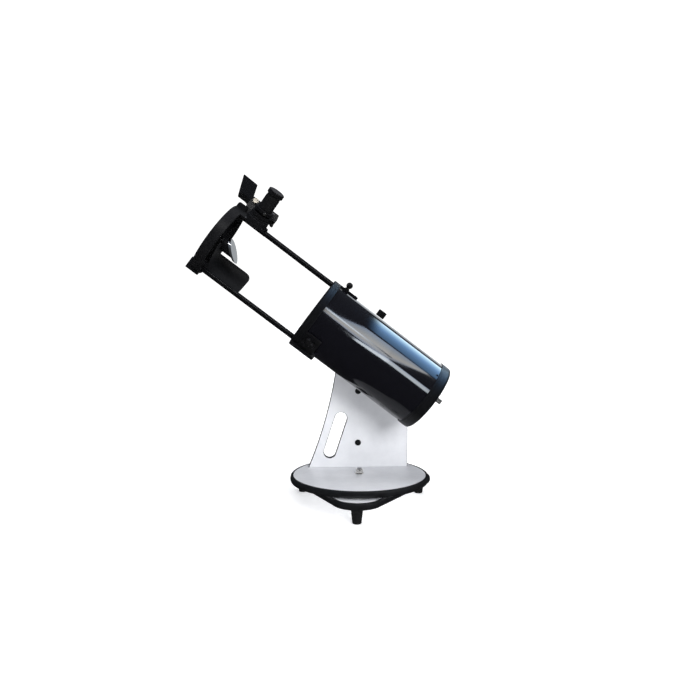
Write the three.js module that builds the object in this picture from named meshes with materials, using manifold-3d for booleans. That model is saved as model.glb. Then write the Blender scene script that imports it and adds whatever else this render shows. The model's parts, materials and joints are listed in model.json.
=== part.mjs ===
// A 130 mm newtonian reflector with a collapsing two-rod tube on a table-top, single-arm turning base.
// Millimetres, +Z up. The tube points up and towards -X; the arm stands behind it, towards +Y.
import * as THREE from "three";
import { mergeVertices } from "three/addons/utils/BufferGeometryUtils.js";
import Module from "manifold-3d";

// ---------------------------------------------------------------- driving dimensions
const GAP = 0.3; // between pieces that touch

const FOOT_HEIGHT = 34;
const FOOT_TOP_R = 13.8;
const FOOT_BOTTOM_R = 10.2;
const FOOT_CIRCLE_R = 168;
const BOARD_THICKNESS = 15;
const EDGE_BAND = 7.4; // how far the rounded rubber edge stands out from a board
const GROUND_REACH = 191.4; // azimuth axis to a corner of the ground board
const GROUND_CORNER_R = 58.2;
const GROUND_TURN = -5.6; // degrees, ground board against the arm
const BOARD_SPACE = 4; // between the two boards, filled by the slide pads
const ROUND_BOARD_R = 157.8;
const BOLT_R = 5;

const ARM_FRONT_Y = 65.4;
const ARM_TOP_R = 46; // round the altitude axis
const ARM_RIGHT_X = 124.5;
const ARM_SLOPE_HEIGHT = 184; // altitude axis down to where the slope starts
const ARM_CURVE_X = -1080; // centre of the long hollow curve down the arm's front edge
const ARM_CURVE_Z = 468;
const ARM_EDGING = 1.2;
const SLOT_HALF_WIDTH = 15;
const SLOT_TOP = [-41.5, 190.5];
const SLOT_BOTTOM = [-69, 107];
const CAP_X = 0.8;
const CAP_HEIGHTS = [129.7, 258.4];
const BRACE_DEPTH = 66;
const BRACE_TOP_Z = 300;

const PIVOT_Z = 374.2; // altitude axis
const TUBE_Y = -42.6; // optical axis
const ALTITUDE = 37.26; // degrees above the horizon
const TUBE_R = 82;
const TUBE_WALL = 1;
const TUBE_REAR = -190;
const TUBE_FRONT = 136.3;
const RING_R = 86.5;
const RING_REAR = 122;
const RING_FRONT = 139.6;
const RING_BORE_R = 79.5;
const CELL_R = 84;
const CELL_FRONT = -173;
const CELL_REAR = -199;
const CELL_FLOOR = 6;
const MIRROR_R = 65;
const MIRROR_EDGE = 16;
const MIRROR_FRONT = -160;
const MIRROR_CURVE_R = 1300; // twice the 650 mm focal length
const SCREW_CIRCLE_R = 50;
const COLLIMATION_ANGLES = [-78, 42, 162];

const ROD_R = 6.4;
const ROD_RADIUS = 74.3; // optical axis to rod axis
const ROD_REAR = 60;
const ROD_FRONT = 405;
const CAGE_REAR = 393;
const CAGE_FRONT = 417;
const LOWER_LUG_REAR = 396.5;
const LOWER_LUG_FRONT = 427;
const CAGE_BORE_R = 79.4;
const BRIDGE_REAR = 331;
const CLAMP_REAR = 74;
const CLAMP_SCREW_T = 106;
const LOWER_KNOB_ANGLE = 230;
const SHIELD_R = 78.9;
const SHIELD_REAR = 301;
const SHIELD_FROM = 108; // degrees round the tube
const SHIELD_TO = 170.8;

const FOCUS_T = 358;
const FOCUS_ANGLE = -17;
const FOCUS_BODY_R = 25.7;
const FOCUS_RING_R = 23.2;
const FOCUS_BORE_R = 19;
const FOCUS_BODY_TOP = 101;
const SET_SCREW_ANGLES = [17, 137];
const SECONDARY_T = 361;
const SECONDARY_R = 20;
const SECONDARY_THICKNESS = 5;
const FINDER_ANGLE = 20;
const FINDER_WIDTH = 26;
const FINDER_TOP = 131.5;
const FINDER_FRONT = 405;
const HOOD_WIDTH = 34;
const DIAL_PLACE = [394, 124.2];
const ADJUSTER_T = 333;

const BAR_FACE = 97; // optical axis to the dovetail bar's outer face
const BAR_LENGTH = 130;
const SADDLE_LENGTH = 58;
const SADDLE_KNOB_T = 0;

// ---------------------------------------------------------------- helpers
const rad = THREE.MathUtils.degToRad;
const V3 = THREE.Vector3;
const wasm = await Module();
wasm.setup();

function toSolid(geometry) {
  const plain = geometry.index ? geometry.toNonIndexed() : geometry.clone();
  plain.deleteAttribute("normal");
  plain.deleteAttribute("uv");
  const merged = mergeVertices(plain, 1e-4);
  const triVerts = new Uint32Array(merged.index.array);
  const vertProperties = merged.attributes.position.array;
  return new wasm.Manifold(new wasm.Mesh({ numProp: 3, vertProperties, triVerts }));
}

function toGeometry(solid) {
  const mesh = solid.getMesh();
  const geometry = new THREE.BufferGeometry();
  geometry.setAttribute("position", new THREE.BufferAttribute(mesh.vertProperties, 3));
  geometry.setIndex(new THREE.BufferAttribute(mesh.triVerts, 1));
  geometry.computeVertexNormals();
  return geometry;
}

// first with every one of others joined on
function join(first, ...others) {
  return toGeometry(others.reduce((solid, other) => solid.add(toSolid(other)), toSolid(first)));
}

// first with every one of tools cut away
function cut(first, ...tools) {
  return toGeometry(tools.reduce((solid, tool) => solid.subtract(toSolid(tool)), toSolid(first)));
}

function common(first, second) {
  return toGeometry(toSolid(first).intersect(toSolid(second)));
}

// a profile of [radius, height] points, anticlockwise, turned about Z
function turned(profile, segments = 36) {
  const points = profile.map(([r, z]) => new THREE.Vector2(r, z));
  return new THREE.LatheGeometry(points, segments).rotateX(Math.PI / 2);
}

function ring(innerR, outerR, low, high, segments = 36) {
  const profile = [[innerR, low], [outerR, low], [outerR, high], [innerR, high], [innerR, low]];
  return turned(profile, segments);
}

function disc(r, low, high, segments = 24) {
  return new THREE.CylinderGeometry(r, r, high - low, segments)
    .rotateX(Math.PI / 2)
    .translate(0, 0, (low + high) / 2);
}

function block(x0, x1, y0, y1, z0, z1) {
  return new THREE.BoxGeometry(x1 - x0, y1 - y0, z1 - z0)
    .translate((x0 + x1) / 2, (y0 + y1) / 2, (z0 + z1) / 2);
}

// a hand knob: a hub with round lobes, its face bevelled
function lobedKnob(hubR, lobeR, lobes, low, high, bevel = 1.5) {
  const outline = new THREE.Shape();
  const steps = lobes * (lobes > 6 ? 3 : 6);
  for (let i = 0; i < steps; i++) {
    const angle = (2 * Math.PI * i) / steps;
    const r = hubR + lobeR * (0.5 + 0.5 * Math.cos(lobes * angle)) - bevel;
    const place = [r * Math.cos(angle), r * Math.sin(angle)];
    if (i === 0) outline.moveTo(...place);
    else outline.lineTo(...place);
  }
  const options = { depth: high - low - 2 * bevel, bevelSize: bevel, bevelThickness: bevel, bevelSegments: 1 };
  return new THREE.ExtrudeGeometry(outline, options).translate(0, 0, low + bevel);
}

// a piece of a pipe between two angles, lying along Z
function arcPlate(innerR, outerR, from, to, low, high) {
  const shape = new THREE.Shape();
  shape.absarc(0, 0, outerR, rad(from), rad(to), false);
  shape.absarc(0, 0, innerR, rad(to), rad(from), true);
  const curveSegments = Math.max(4, Math.round(Math.abs(to - from) / 8));
  return new THREE.ExtrudeGeometry(shape, { depth: high - low, bevelEnabled: false, curveSegments })
    .translate(0, 0, low);
}

// turns a piece built along +Z to point out from the optical axis at an angle and a distance up the tube
function outward(geometry, angle, t) {
  return geometry.rotateY(Math.PI / 2).translate(0, 0, t).rotateZ(rad(angle));
}

// an outline of [along the tube, out from the axis] points, as a plate across the tangent direction
function sidePlate(points, width) {
  const shape = new THREE.Shape(points.map(([t, out]) => new THREE.Vector2(t, out)));
  const turn = new THREE.Matrix4().makeBasis(new V3(0, 0, 1), new V3(1, 0, 0), new V3(0, 1, 0));
  return new THREE.ExtrudeGeometry(shape, { depth: width, bevelEnabled: false })
    .translate(0, 0, -width / 2)
    .applyMatrix4(turn);
}

// an outline in X and Z, as an upright plate from frontY backwards
function uprightPlate(shape, frontY, thickness, curveSegments = 8) {
  return new THREE.ExtrudeGeometry(shape, { depth: thickness, bevelEnabled: false, curveSegments })
    .rotateX(Math.PI / 2)
    .translate(0, frontY + thickness, 0);
}

const finish = {
  melamine: () => new THREE.MeshStandardMaterial({ color: 0xc4c6ca, roughness: 0.45 }),
  edging: () => new THREE.MeshStandardMaterial({ color: 0x111112, roughness: 0.5 }),
  blackPlastic: () => new THREE.MeshStandardMaterial({ color: 0x141416, roughness: 0.45 }),
  glossBlack: () => new THREE.MeshStandardMaterial({ color: 0x08080a, roughness: 0.08, metalness: 0.3 }),
  satinBlack: () => new THREE.MeshStandardMaterial({ color: 0x0c0c0e, roughness: 0.3, metalness: 0.5 }),
  rubber: () => new THREE.MeshStandardMaterial({ color: 0x18181a, roughness: 0.8 }),
  slidePlastic: () => new THREE.MeshStandardMaterial({ color: 0xeeeeea, roughness: 0.5 }),
  chrome: () => new THREE.MeshStandardMaterial({ color: 0xd8dade, roughness: 0.15, metalness: 1 }),
  steel: () => new THREE.MeshStandardMaterial({ color: 0x9a9ca0, roughness: 0.35, metalness: 1 }),
  mirror: () => new THREE.MeshStandardMaterial({ color: 0xeef2f6, roughness: 0.02, metalness: 1 }),
  glass: () => new THREE.MeshStandardMaterial({ color: 0xbcd4e0, roughness: 0.02, opacity: 0.4, transparent: true }),
};

function part(name, geometry, material) {
  const mesh = new THREE.Mesh(geometry, material);
  mesh.name = name;
  return mesh;
}

// ---------------------------------------------------------------- ground board
const groundLow = FOOT_HEIGHT;
const groundHigh = groundLow + BOARD_THICKNESS;
const roundLow = groundHigh + BOARD_SPACE;
const roundHigh = roundLow + BOARD_THICKNESS;

// a triangle with round corners, one corner towards -Y
function groundOutline(cornerR) {
  const shape = new THREE.Shape();
  [-90, 30, 150].forEach((direction) => {
    const reach = GROUND_REACH - GROUND_CORNER_R;
    const x = reach * Math.cos(rad(direction));
    const y = reach * Math.sin(rad(direction));
    shape.absarc(x, y, cornerR, rad(direction - 60), rad(direction + 60), false);
  });
  return shape;
}

function groundSlab(cornerR, low, high, bevel) {
  const options = {
    depth: high - low - 2 * bevel,
    bevelEnabled: bevel > 0,
    bevelSize: bevel,
    bevelThickness: bevel,
    bevelSegments: 1,
    curveSegments: 7,
  };
  return new THREE.ExtrudeGeometry(groundOutline(cornerR - bevel), options).translate(0, 0, low + bevel);
}

function groundBoard() {
  const slab = groundSlab(GROUND_CORNER_R - EDGE_BAND, groundLow, groundHigh, 0);
  return cut(slab, disc(BOLT_R + GAP, groundLow - 1, groundHigh + 1, 24));
}

function groundEdgeBand() {
  const full = groundSlab(GROUND_CORNER_R, groundLow - 0.4, groundHigh + 0.4, 4);
  return cut(full, groundSlab(GROUND_CORNER_R - EDGE_BAND + GAP, groundLow - 2, groundHigh + 2, 0));
}

function foot() {
  const sole = 1.2;
  const top = groundLow - GAP;
  const profile = [[0, 0], [FOOT_BOTTOM_R - sole, 0], [FOOT_BOTTOM_R, sole], [FOOT_TOP_R, top], [0, top]];
  return turned(profile, 18);
}

function azimuthBolt() {
  const headR = 9;
  const head = groundLow - GAP;
  const end = roundHigh + 14.3;
  const profile = [
    [0, head - 6], [headR, head - 6], [headR, head], [BOLT_R, head], [BOLT_R, end - 1], [BOLT_R - 1, end], [0, end],
  ];
  return turned(profile, 20);
}

// ---------------------------------------------------------------- turning board and arm
function roundBoard() {
  return ring(BOLT_R + GAP, ROUND_BOARD_R, roundLow, roundHigh, 40);
}

function roundEdgeBand() {
  const inner = ROUND_BOARD_R + GAP;
  const outer = ROUND_BOARD_R + EDGE_BAND;
  const low = roundLow - 0.4;
  const high = roundHigh + 0.4;
  const profile = [
    [inner, low], [outer - 4, low], [outer - 1, low + 2.6], [outer, (low + high) / 2],
    [outer - 1, high - 2.6], [outer - 4, high], [inner, high], [inner, low],
  ];
  return turned(profile, 40);
}

// the arm's outline, drawn in by inset on every side but the bottom
function armOutline(inset) {
  const shape = new THREE.Shape();
  const bottom = roundHigh + GAP;
  const centreDistance = Math.hypot(ARM_CURVE_X, ARM_CURVE_Z - PIVOT_Z);
  const curveR = centreDistance - ARM_TOP_R + inset;
  const towardsPivot = Math.atan2(PIVOT_Z - ARM_CURVE_Z, -ARM_CURVE_X);
  const curveStart = Math.asin((bottom - ARM_CURVE_Z) / curveR);
    const toCorner = Math.atan2(ARM_SLOPE_HEIGHT, ARM_RIGHT_X);
  const cornerDistance = Math.hypot(ARM_SLOPE_HEIGHT, ARM_RIGHT_X);
  const slopeAngle = Math.acos(ARM_TOP_R / cornerDistance) - toCorner;
  const right = ARM_RIGHT_X - inset;
  const corner = PIVOT_Z + (ARM_TOP_R - inset - right * Math.cos(slopeAngle)) / Math.sin(slopeAngle);
  shape.moveTo(right, bottom);
  shape.lineTo(right, corner);
  shape.absarc(0, PIVOT_Z, ARM_TOP_R - inset, slopeAngle, towardsPivot + Math.PI, false);
  shape.absarc(ARM_CURVE_X, ARM_CURVE_Z, curveR, towardsPivot, curveStart, true);
  shape.closePath();
  return shape;
}

function handleSlot() {
  const slot = new THREE.Path();
  const tilt = Math.atan2(SLOT_TOP[1] - SLOT_BOTTOM[1], SLOT_TOP[0] - SLOT_BOTTOM[0]);
  slot.absarc(...SLOT_TOP, SLOT_HALF_WIDTH, tilt + Math.PI / 2, tilt - Math.PI / 2, true);
  slot.absarc(...SLOT_BOTTOM, SLOT_HALF_WIDTH, tilt - Math.PI / 2, tilt - Math.PI * 1.5, true);
  slot.closePath();
  return slot;
}

function roundHole(x, z, r) {
  const hole = new THREE.Path();
  hole.absarc(x, z, r, 0, 2 * Math.PI, true);
  return hole;
}

function sideArm() {
  const shape = armOutline(ARM_EDGING + GAP);
  shape.holes.push(handleSlot(), roundHole(0, PIVOT_Z, BOLT_R + GAP));
  CAP_HEIGHTS.forEach((z) => shape.holes.push(roundHole(CAP_X, z, 4)));
  return uprightPlate(shape, ARM_FRONT_Y, BOARD_THICKNESS);
}

function armEdging() {
  const strip = uprightPlate(armOutline(0), ARM_FRONT_Y, BOARD_THICKNESS);
  const opening = uprightPlate(armOutline(ARM_EDGING), ARM_FRONT_Y - 2, BOARD_THICKNESS + 4);
  const openBelow = opening.clone().translate(0, 0, -2);
  return cut(strip, opening, openBelow);
}

// the stiffening board that stands square behind the arm
function armBrace() {
  const back = ARM_FRONT_Y + BOARD_THICKNESS + GAP;
  const bottom = roundHigh + GAP;
  const shape = new THREE.Shape();
  shape.moveTo(back, bottom);
  shape.lineTo(back + BRACE_DEPTH, bottom);
  shape.lineTo(back + BRACE_DEPTH, bottom + 14);
  shape.quadraticCurveTo(back + 24, bottom + 90, back + 18, BRACE_TOP_Z - 8);
  shape.lineTo(back + 10, BRACE_TOP_Z);
  shape.lineTo(back, BRACE_TOP_Z);
  shape.closePath();
  const turn = new THREE.Matrix4().makeBasis(new V3(0, 1, 0), new V3(0, 0, 1), new V3(1, 0, 0));
  return new THREE.ExtrudeGeometry(shape, { depth: BOARD_THICKNESS, bevelEnabled: false, curveSegments: 10 })
    .applyMatrix4(turn)
    .translate(CAP_X - BOARD_THICKNESS / 2, 0, 0);
}

// a push-in cover over a fixing screw; it points towards -Y
function screwCap() {
  const r = 7.5;
  const profile = [[0, -8], [3.6, -8], [3.6, GAP], [r, GAP], [r, 1.2], [r - 1.8, 2.4], [0, 2.9]];
  return turned(profile, 16).rotateX(Math.PI / 2);
}

function azimuthWasher() {
  return ring(BOLT_R + GAP, 10.5, roundHigh + GAP, roundHigh + 1.9, 20);
}

function azimuthNut() {
  const low = roundHigh + 2.2;
  const hexagon = new THREE.CylinderGeometry(9.8, 9.8, 8, 6).rotateX(Math.PI / 2).translate(0, 0, low + 4);
  const collar = disc(8, low + 7.9, low + 10, 24);
  return cut(join(hexagon, collar), disc(BOLT_R + GAP, low - 1, low + 12, 20));
}

// ---------------------------------------------------------------- saddle on the altitude axis
const armFront = ARM_FRONT_Y - TUBE_Y; // optical axis to the arm's front face
const saddleBack = armFront - 2.6;
const clampScrewY = BAR_FACE - 6;

function saddle() {
  const half = 33;
  const lip = BAR_FACE - 11.5;
  const shape = new THREE.Shape();
  shape.moveTo(-half, saddleBack);
  shape.lineTo(-half, lip);
  shape.lineTo(-18.4, lip);
  shape.lineTo(-22.6, BAR_FACE + GAP);
  shape.lineTo(22.6, BAR_FACE + GAP);
  shape.lineTo(18.4, lip);
  shape.lineTo(half, lip);
  shape.lineTo(half, saddleBack);
  shape.closePath();
  const body = new THREE.ExtrudeGeometry(shape, { depth: SADDLE_LENGTH, bevelEnabled: false })
    .translate(0, 0, -SADDLE_LENGTH / 2);
  const alongY = (r, low, high) => disc(r, low, high, 24).rotateX(-Math.PI / 2);
  const screwHole = disc(3.4, 0, 40, 16).rotateY(Math.PI / 2).translate(0, clampScrewY, SADDLE_KNOB_T);
  return cut(body, alongY(BOLT_R + GAP, 80, 120), alongY(9.4, 80, BAR_FACE + 5), screwHole);
}

function altitudeBolt() {
  const head = BAR_FACE + 0.8;
  const end = armFront + BOARD_THICKNESS + 20;
  const profile = [[0, head], [9, head], [9, head + 3.9], [BOLT_R, head + 3.9], [BOLT_R, end], [0, end]];
  return turned(profile, 20).rotateX(-Math.PI / 2);
}

function frictionWasher() {
  return ring(BOLT_R + GAP, 28, saddleBack + GAP, armFront - GAP, 24).rotateX(-Math.PI / 2);
}

function altitudeKnob() {
  const low = armFront + BOARD_THICKNESS + GAP;
  const knob = join(disc(14, low, low + 6, 32), lobedKnob(19, 6, 6, low + 5.5, low + 22));
  return cut(knob, disc(BOLT_R + GAP, low - 1, low + 20.5, 20)).rotateX(-Math.PI / 2);
}

// points up square to the tube, clear above it
function saddleClampKnob() {
  const knobLow = 79;
  const knobHigh = 101;
  const knob = lobedKnob(9.3, 1.6, 8, knobLow, knobHigh, 1.2);
  return join(knob, disc(2.9, 22.3, knobLow + 1, 16))
    .rotateY(Math.PI / 2)
    .translate(0, clampScrewY, SADDLE_KNOB_T);
}

function dovetailBar() {
  const shape = new THREE.Shape();
  shape.moveTo(-22, BAR_FACE);
  shape.lineTo(-17.8, BAR_FACE - 12);
  shape.lineTo(-17.8, 78);
  shape.lineTo(17.8, 78);
  shape.lineTo(17.8, BAR_FACE - 12);
  shape.lineTo(22, BAR_FACE);
  shape.closePath();
  const bar = new THREE.ExtrudeGeometry(shape, { depth: BAR_LENGTH, bevelEnabled: false })
    .translate(0, 0, -BAR_LENGTH / 2);
  return cut(bar, disc(TUBE_R + GAP, -BAR_LENGTH, BAR_LENGTH, 40));
}

// ---------------------------------------------------------------- main tube
function mainTube() {
  const shell = ring(TUBE_R - TUBE_WALL, TUBE_R, TUBE_REAR, TUBE_FRONT, 40);
  return cut(shell, outward(disc(3.6, 70, 95, 16), 0, CLAMP_SCREW_T));
}

function frontRing() {
  const profile = [
    [TUBE_R + GAP, RING_REAR], [RING_R, RING_REAR], [RING_R, RING_FRONT - 2],
    [RING_R - 1.6, RING_FRONT], [RING_BORE_R, RING_FRONT], [RING_BORE_R, TUBE_FRONT + GAP],
    [TUBE_R + GAP, TUBE_FRONT + GAP], [TUBE_R + GAP, RING_REAR],
  ];
  const rodWay = disc(ROD_R + 0.5, 125, 145, 20);
  return cut(
    turned(profile, 40),
    rodWay.clone().translate(ROD_RADIUS, 0, 0),
    rodWay.clone().translate(-ROD_RADIUS, 0, 0),
  );
}

function rearCell() {
  const bend = 7;
  const floor = CELL_REAR + CELL_FLOOR;
  const profile = [
    [0, CELL_REAR], [CELL_R - bend, CELL_REAR], [CELL_R - bend * 0.5, CELL_REAR + bend * 0.134],
    [CELL_R - bend * 0.134, CELL_REAR + bend * 0.5], [CELL_R, CELL_REAR + bend], [CELL_R, CELL_FRONT],
    [TUBE_R + GAP, CELL_FRONT], [TUBE_R + GAP, TUBE_REAR - GAP], [TUBE_R - 3, TUBE_REAR - GAP],
    [TUBE_R - 3, floor], [0, floor],
  ];
  const holes = COLLIMATION_ANGLES.map((angle) =>
    atAngle(disc(2.9, CELL_REAR - 2, floor + 2, 12), SCREW_CIRCLE_R, angle),
  );
  return cut(turned(profile, 40), ...holes);
}

// moves a piece on the axis out to a radius, at an angle round the tube
function atAngle(geometry, r, angle) {
  return geometry.translate(r, 0, 0).rotateZ(rad(angle));
}

function primaryMirror() {
  const back = MIRROR_FRONT - MIRROR_EDGE;
  const dip = (r) => (MIRROR_R * MIRROR_R - r * r) / (2 * MIRROR_CURVE_R);
  const bowl = [1, 0.75, 0.5, 0.25, 0].map((share) => {
    const r = share * MIRROR_R;
    return [r, MIRROR_FRONT - dip(r)];
  });
  return turned([[0, back], [MIRROR_R, back], ...bowl], 28);
}

function mirrorSupport() {
  const back = MIRROR_FRONT - MIRROR_EDGE - GAP;
  const inner = MIRROR_R + GAP;
  const profile = [
    [0, back - 4], [inner + 2.5, back - 4], [inner + 2.5, MIRROR_FRONT + 1], [inner, MIRROR_FRONT + 1],
    [inner, back], [0, back],
  ];
  return turned(profile, 28);
}

const supportBack = MIRROR_FRONT - MIRROR_EDGE - GAP - 4;

function collimationScrew() {
  const headR = 5.6;
  const low = CELL_REAR - 17;
  const head = CELL_REAR - GAP - 2;
  const end = supportBack - GAP;
  const profile = [
    [0, low], [headR - 1, low], [headR, low + 1], [headR, head], [2.6, head], [2.6, end], [0, end],
  ];
  return turned(profile, 16);
}

class Helix extends THREE.Curve {
  constructor(r, low, high, turns) {
    super();
    Object.assign(this, { r, low, high, turns });
  }

  getPoint(u, target = new V3()) {
    const angle = 2 * Math.PI * this.turns * u;
    const z = this.low + (this.high - this.low) * u;
    return target.set(this.r * Math.cos(angle), this.r * Math.sin(angle), z);
  }
}

function collimationSpring() {
  const wireR = 0.7;
  const section = new THREE.Shape();
  section.absarc(0, 0, wireR, 0, 2 * Math.PI, false);
  const clear = wireR + GAP + 0.2;
  const path = new Helix(4.6, CELL_REAR + CELL_FLOOR + clear, supportBack - clear, 3.5);
  const options = { extrudePath: path, steps: 21, curveSegments: 3, bevelEnabled: false };
  return new THREE.ExtrudeGeometry(section, options);
}

// ---------------------------------------------------------------- rod clamps
function upperRodClamp() {
  const high = RING_REAR - GAP;
  const plate = arcPlate(TUBE_R + GAP, RING_R, -9, 9, CLAMP_REAR, high);
  const boss = outward(disc(6, TUBE_R + 2, RING_R + 2, 20), 0, CLAMP_SCREW_T);
  return cut(join(plate, boss), outward(disc(3.4, 70, 100, 16), 0, CLAMP_SCREW_T));
}

function upperClampKnob() {
  const ballAt = 97;
  const ball = new THREE.SphereGeometry(7.6, 12, 7).rotateX(Math.PI / 2).translate(0, 0, ballAt);
  return join(disc(2.9, ROD_RADIUS + ROD_R + GAP, ballAt, 14), ball);
}

function lowerRodClamp() {
  const outer = 92.3;
  const rear = arcPlate(TUBE_R + GAP, outer, 170, 206, CLAMP_REAR, RING_REAR - GAP);
  const front = arcPlate(RING_R + GAP, outer, 170, 204, RING_REAR - 8, RING_FRONT - 1);
  const reach = arcPlate(TUBE_R + GAP, outer - 3.5, 200, 240, CLAMP_REAR + 8, RING_REAR - GAP);
  const chamfer = block(-12, 12, -40, 40, -9, 9).rotateY(rad(45)).translate(-outer - 6, 0, CLAMP_REAR - 5);
  const boss = outward(disc(9, TUBE_R + 3, outer - 1.5, 20), LOWER_KNOB_ANGLE, CLAMP_SCREW_T - 2);
  const hole = outward(disc(3.4, 70, 100, 16), LOWER_KNOB_ANGLE, CLAMP_SCREW_T - 2);
  return cut(join(rear, front, reach, boss), chamfer, hole);
}

function lowerClampKnob() {
  const low = 91.1;
  return join(lobedKnob(7, 7, 3, low, low + 10, 1.4), disc(2.9, TUBE_R + 1, low + 1, 14));
}

function trussRod() {
  const chamfer = 0.8;
  const profile = [
    [0, ROD_REAR], [ROD_R - chamfer, ROD_REAR], [ROD_R, ROD_REAR + chamfer], [ROD_R, ROD_FRONT], [0, ROD_FRONT],
  ];
  return turned(profile, 20);
}

// ---------------------------------------------------------------- front cage
// a block on the ring that takes a rod's end, above the axis or below it
function cageLug(side, outer, rear, front) {
  const shape = new THREE.Shape();
  const half = 12;
  const inner = ROD_RADIUS - ROD_R - 3;
  shape.moveTo(inner, -half + 4);
  shape.lineTo(inner + 5, -half);
  shape.lineTo(outer - 5, -half);
  shape.quadraticCurveTo(outer, -half, outer, 0);
  shape.quadraticCurveTo(outer, half, outer - 5, half);
  shape.lineTo(inner + 5, half);
  shape.lineTo(inner, half - 4);
  shape.closePath();
  const options = { depth: front - rear, bevelEnabled: false, curveSegments: 4 };
  const lug = new THREE.ExtrudeGeometry(shape, options).translate(0, 0, rear);
  return side > 0 ? lug : lug.rotateZ(Math.PI);
}

function cageRing() {
  const profile = [
    [CAGE_BORE_R, CAGE_REAR], [RING_R, CAGE_REAR], [RING_R, CAGE_FRONT], [CAGE_BORE_R, CAGE_FRONT],
    [CAGE_BORE_R, CAGE_REAR],
  ];
  const bridge = arcPlate(TUBE_R + 0.6, RING_R, -31, 34, BRIDGE_REAR, CAGE_REAR + 2);
  const body = disc(FOCUS_BODY_R, TUBE_R - 8, FOCUS_BODY_TOP, 24);
  const bore = disc(FOCUS_BORE_R, 40, 130, 24);
  const shoe = finderShoe().rotateZ(rad(FINDER_ANGLE));
  const inside = disc(TUBE_R + 0.6, BRIDGE_REAR - 20, CAGE_REAR + 0.01, 40);
  const socket = disc(ROD_R + GAP, CAGE_REAR - 5, ROD_FRONT + 0.5, 20);
  const focuser = (geometry) => outward(geometry, FOCUS_ANGLE, FOCUS_T);
  const screwWay = disc(2.9, 0, 30, 12).rotateX(Math.PI / 2).translate(96.5, 0, 372).rotateZ(rad(FINDER_ANGLE));
  return cut(
    join(
      turned(profile, 40),
      cut(join(bridge, focuser(body), shoe), inside),
      cageLug(1, 97.5, CAGE_REAR + 0.5, CAGE_FRONT - 0.5),
      cageLug(-1, 93, LOWER_LUG_REAR, LOWER_LUG_FRONT),
    ),
    focuser(bore),
    socket.clone().translate(ROD_RADIUS, 0, 0),
    socket.clone().translate(-ROD_RADIUS, 0, 0),
    screwWay,
  );
}

// a block with a channel along it that takes the finder's foot
function finderShoe() {
  const low = TUBE_R - 2;
  const top = 100;
  const body = sidePlate([[350, low], [402, low], [402, top], [350, top]], FINDER_WIDTH - 2);
  return cut(body, block(93, top + 1, -9, 9, 340, 410));
}

function lightShield() {
  const [upperCorner, lowerCorner] = [14, 7];
  const high = CAGE_REAR + 5;
  const sheet = arcPlate(SHIELD_R - 1, SHIELD_R, SHIELD_FROM, SHIELD_TO, SHIELD_REAR, high);
  const notch = (angle, corner) => {
    const square = block(60, 95, -20, corner, SHIELD_REAR - 20, SHIELD_REAR + corner);
    const round = disc(corner, 60, 95, 24).rotateY(Math.PI / 2).translate(0, corner, SHIELD_REAR + corner);
    return cut(square, round).rotateZ(rad(angle));
  };
  return cut(sheet, notch(SHIELD_FROM, upperCorner), mirrored(notch(-SHIELD_TO, lowerCorner)));
}

// the same piece with Y turned to -Y
function mirrored(geometry) {
  const flipped = geometry.clone().scale(1, -1, 1);
  const index = flipped.index.array;
  for (let i = 0; i < index.length; i += 3) {
    [index[i + 1], index[i + 2]] = [index[i + 2], index[i + 1]];
  }
  return flipped;
}

const hubRear = 397;
const hubFront = 411;

function spider() {
  const hub = disc(12, hubRear, hubFront, 24);
  const vanes = [45, 135, 225, 315].map((angle) =>
    block(8, CAGE_BORE_R - GAP, -0.7, 0.7, hubRear + 3, hubFront).rotateZ(rad(angle)),
  );
  return cut(join(hub, ...vanes), disc(3.3, hubRear - 1, hubFront + 1, 16));
}

// a slab square to the folded light path, between two distances behind the mirror's face
function mirrorSlab(from, to) {
  return block(-60, 60, -60, 60, from, to)
    .rotateY(rad(-45))
    .translate(0, 0, SECONDARY_T)
    .rotateZ(rad(FOCUS_ANGLE));
}

function secondaryMirror() {
  return common(disc(SECONDARY_R, SECONDARY_T - 40, SECONDARY_T + 40, 36), mirrorSlab(0, SECONDARY_THICKNESS));
}

function secondaryHolder() {
  const barrel = disc(SECONDARY_R - 4, SECONDARY_T - 40, hubRear - 6, 28);
  const wedge = common(barrel, mirrorSlab(SECONDARY_THICKNESS + GAP, 80));
  return join(wedge, disc(3, hubRear - 8, hubFront + 4, 16));
}

// ---------------------------------------------------------------- focuser and eyepiece, along their own axis
const ringTop = FOCUS_BODY_TOP + 8.5;
const drawTop = 122;

function focusRing() {
  const low = FOCUS_BODY_TOP + GAP;
  const profile = [
    [FOCUS_BORE_R, low], [FOCUS_RING_R - 1, low], [FOCUS_RING_R, low + 1], [FOCUS_RING_R, ringTop - 1.2],
    [FOCUS_RING_R - 1.2, ringTop], [FOCUS_BORE_R, ringTop], [FOCUS_BORE_R, low],
  ];
  return turned(profile, 24);
}

function drawTube() {
  const outer = FOCUS_BORE_R - GAP;
  const bore = 16.2;
  const collar = ringTop + 4.5;
  const profile = [
    [bore, 84], [outer, 84], [outer, ringTop + 1], [22.4, collar], [22.4, drawTop - 1], [21.4, drawTop],
    [bore, drawTop], [bore, 84],
  ];
  const screwWays = SET_SCREW_ANGLES.map((angle) =>
    disc(1.9, 0, 40, 12).rotateX(Math.PI / 2).translate(0, 0, drawTop - 3.6).rotateZ(rad(angle)),
  );
  return cut(turned(profile, 24), ...screwWays);
}

// a small thumb screw in the draw tube's collar, turned round the collar from -Y
function setScrew(angle) {
  const tip = disc(1.6, 16.3, 24, 10);
  const head = disc(3.2, 23.2, 30, 14);
  return join(tip, head).rotateX(Math.PI / 2).translate(0, 0, drawTop - 3.6).rotateZ(rad(angle));
}

const eyepieceTop = 159.7;

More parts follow.
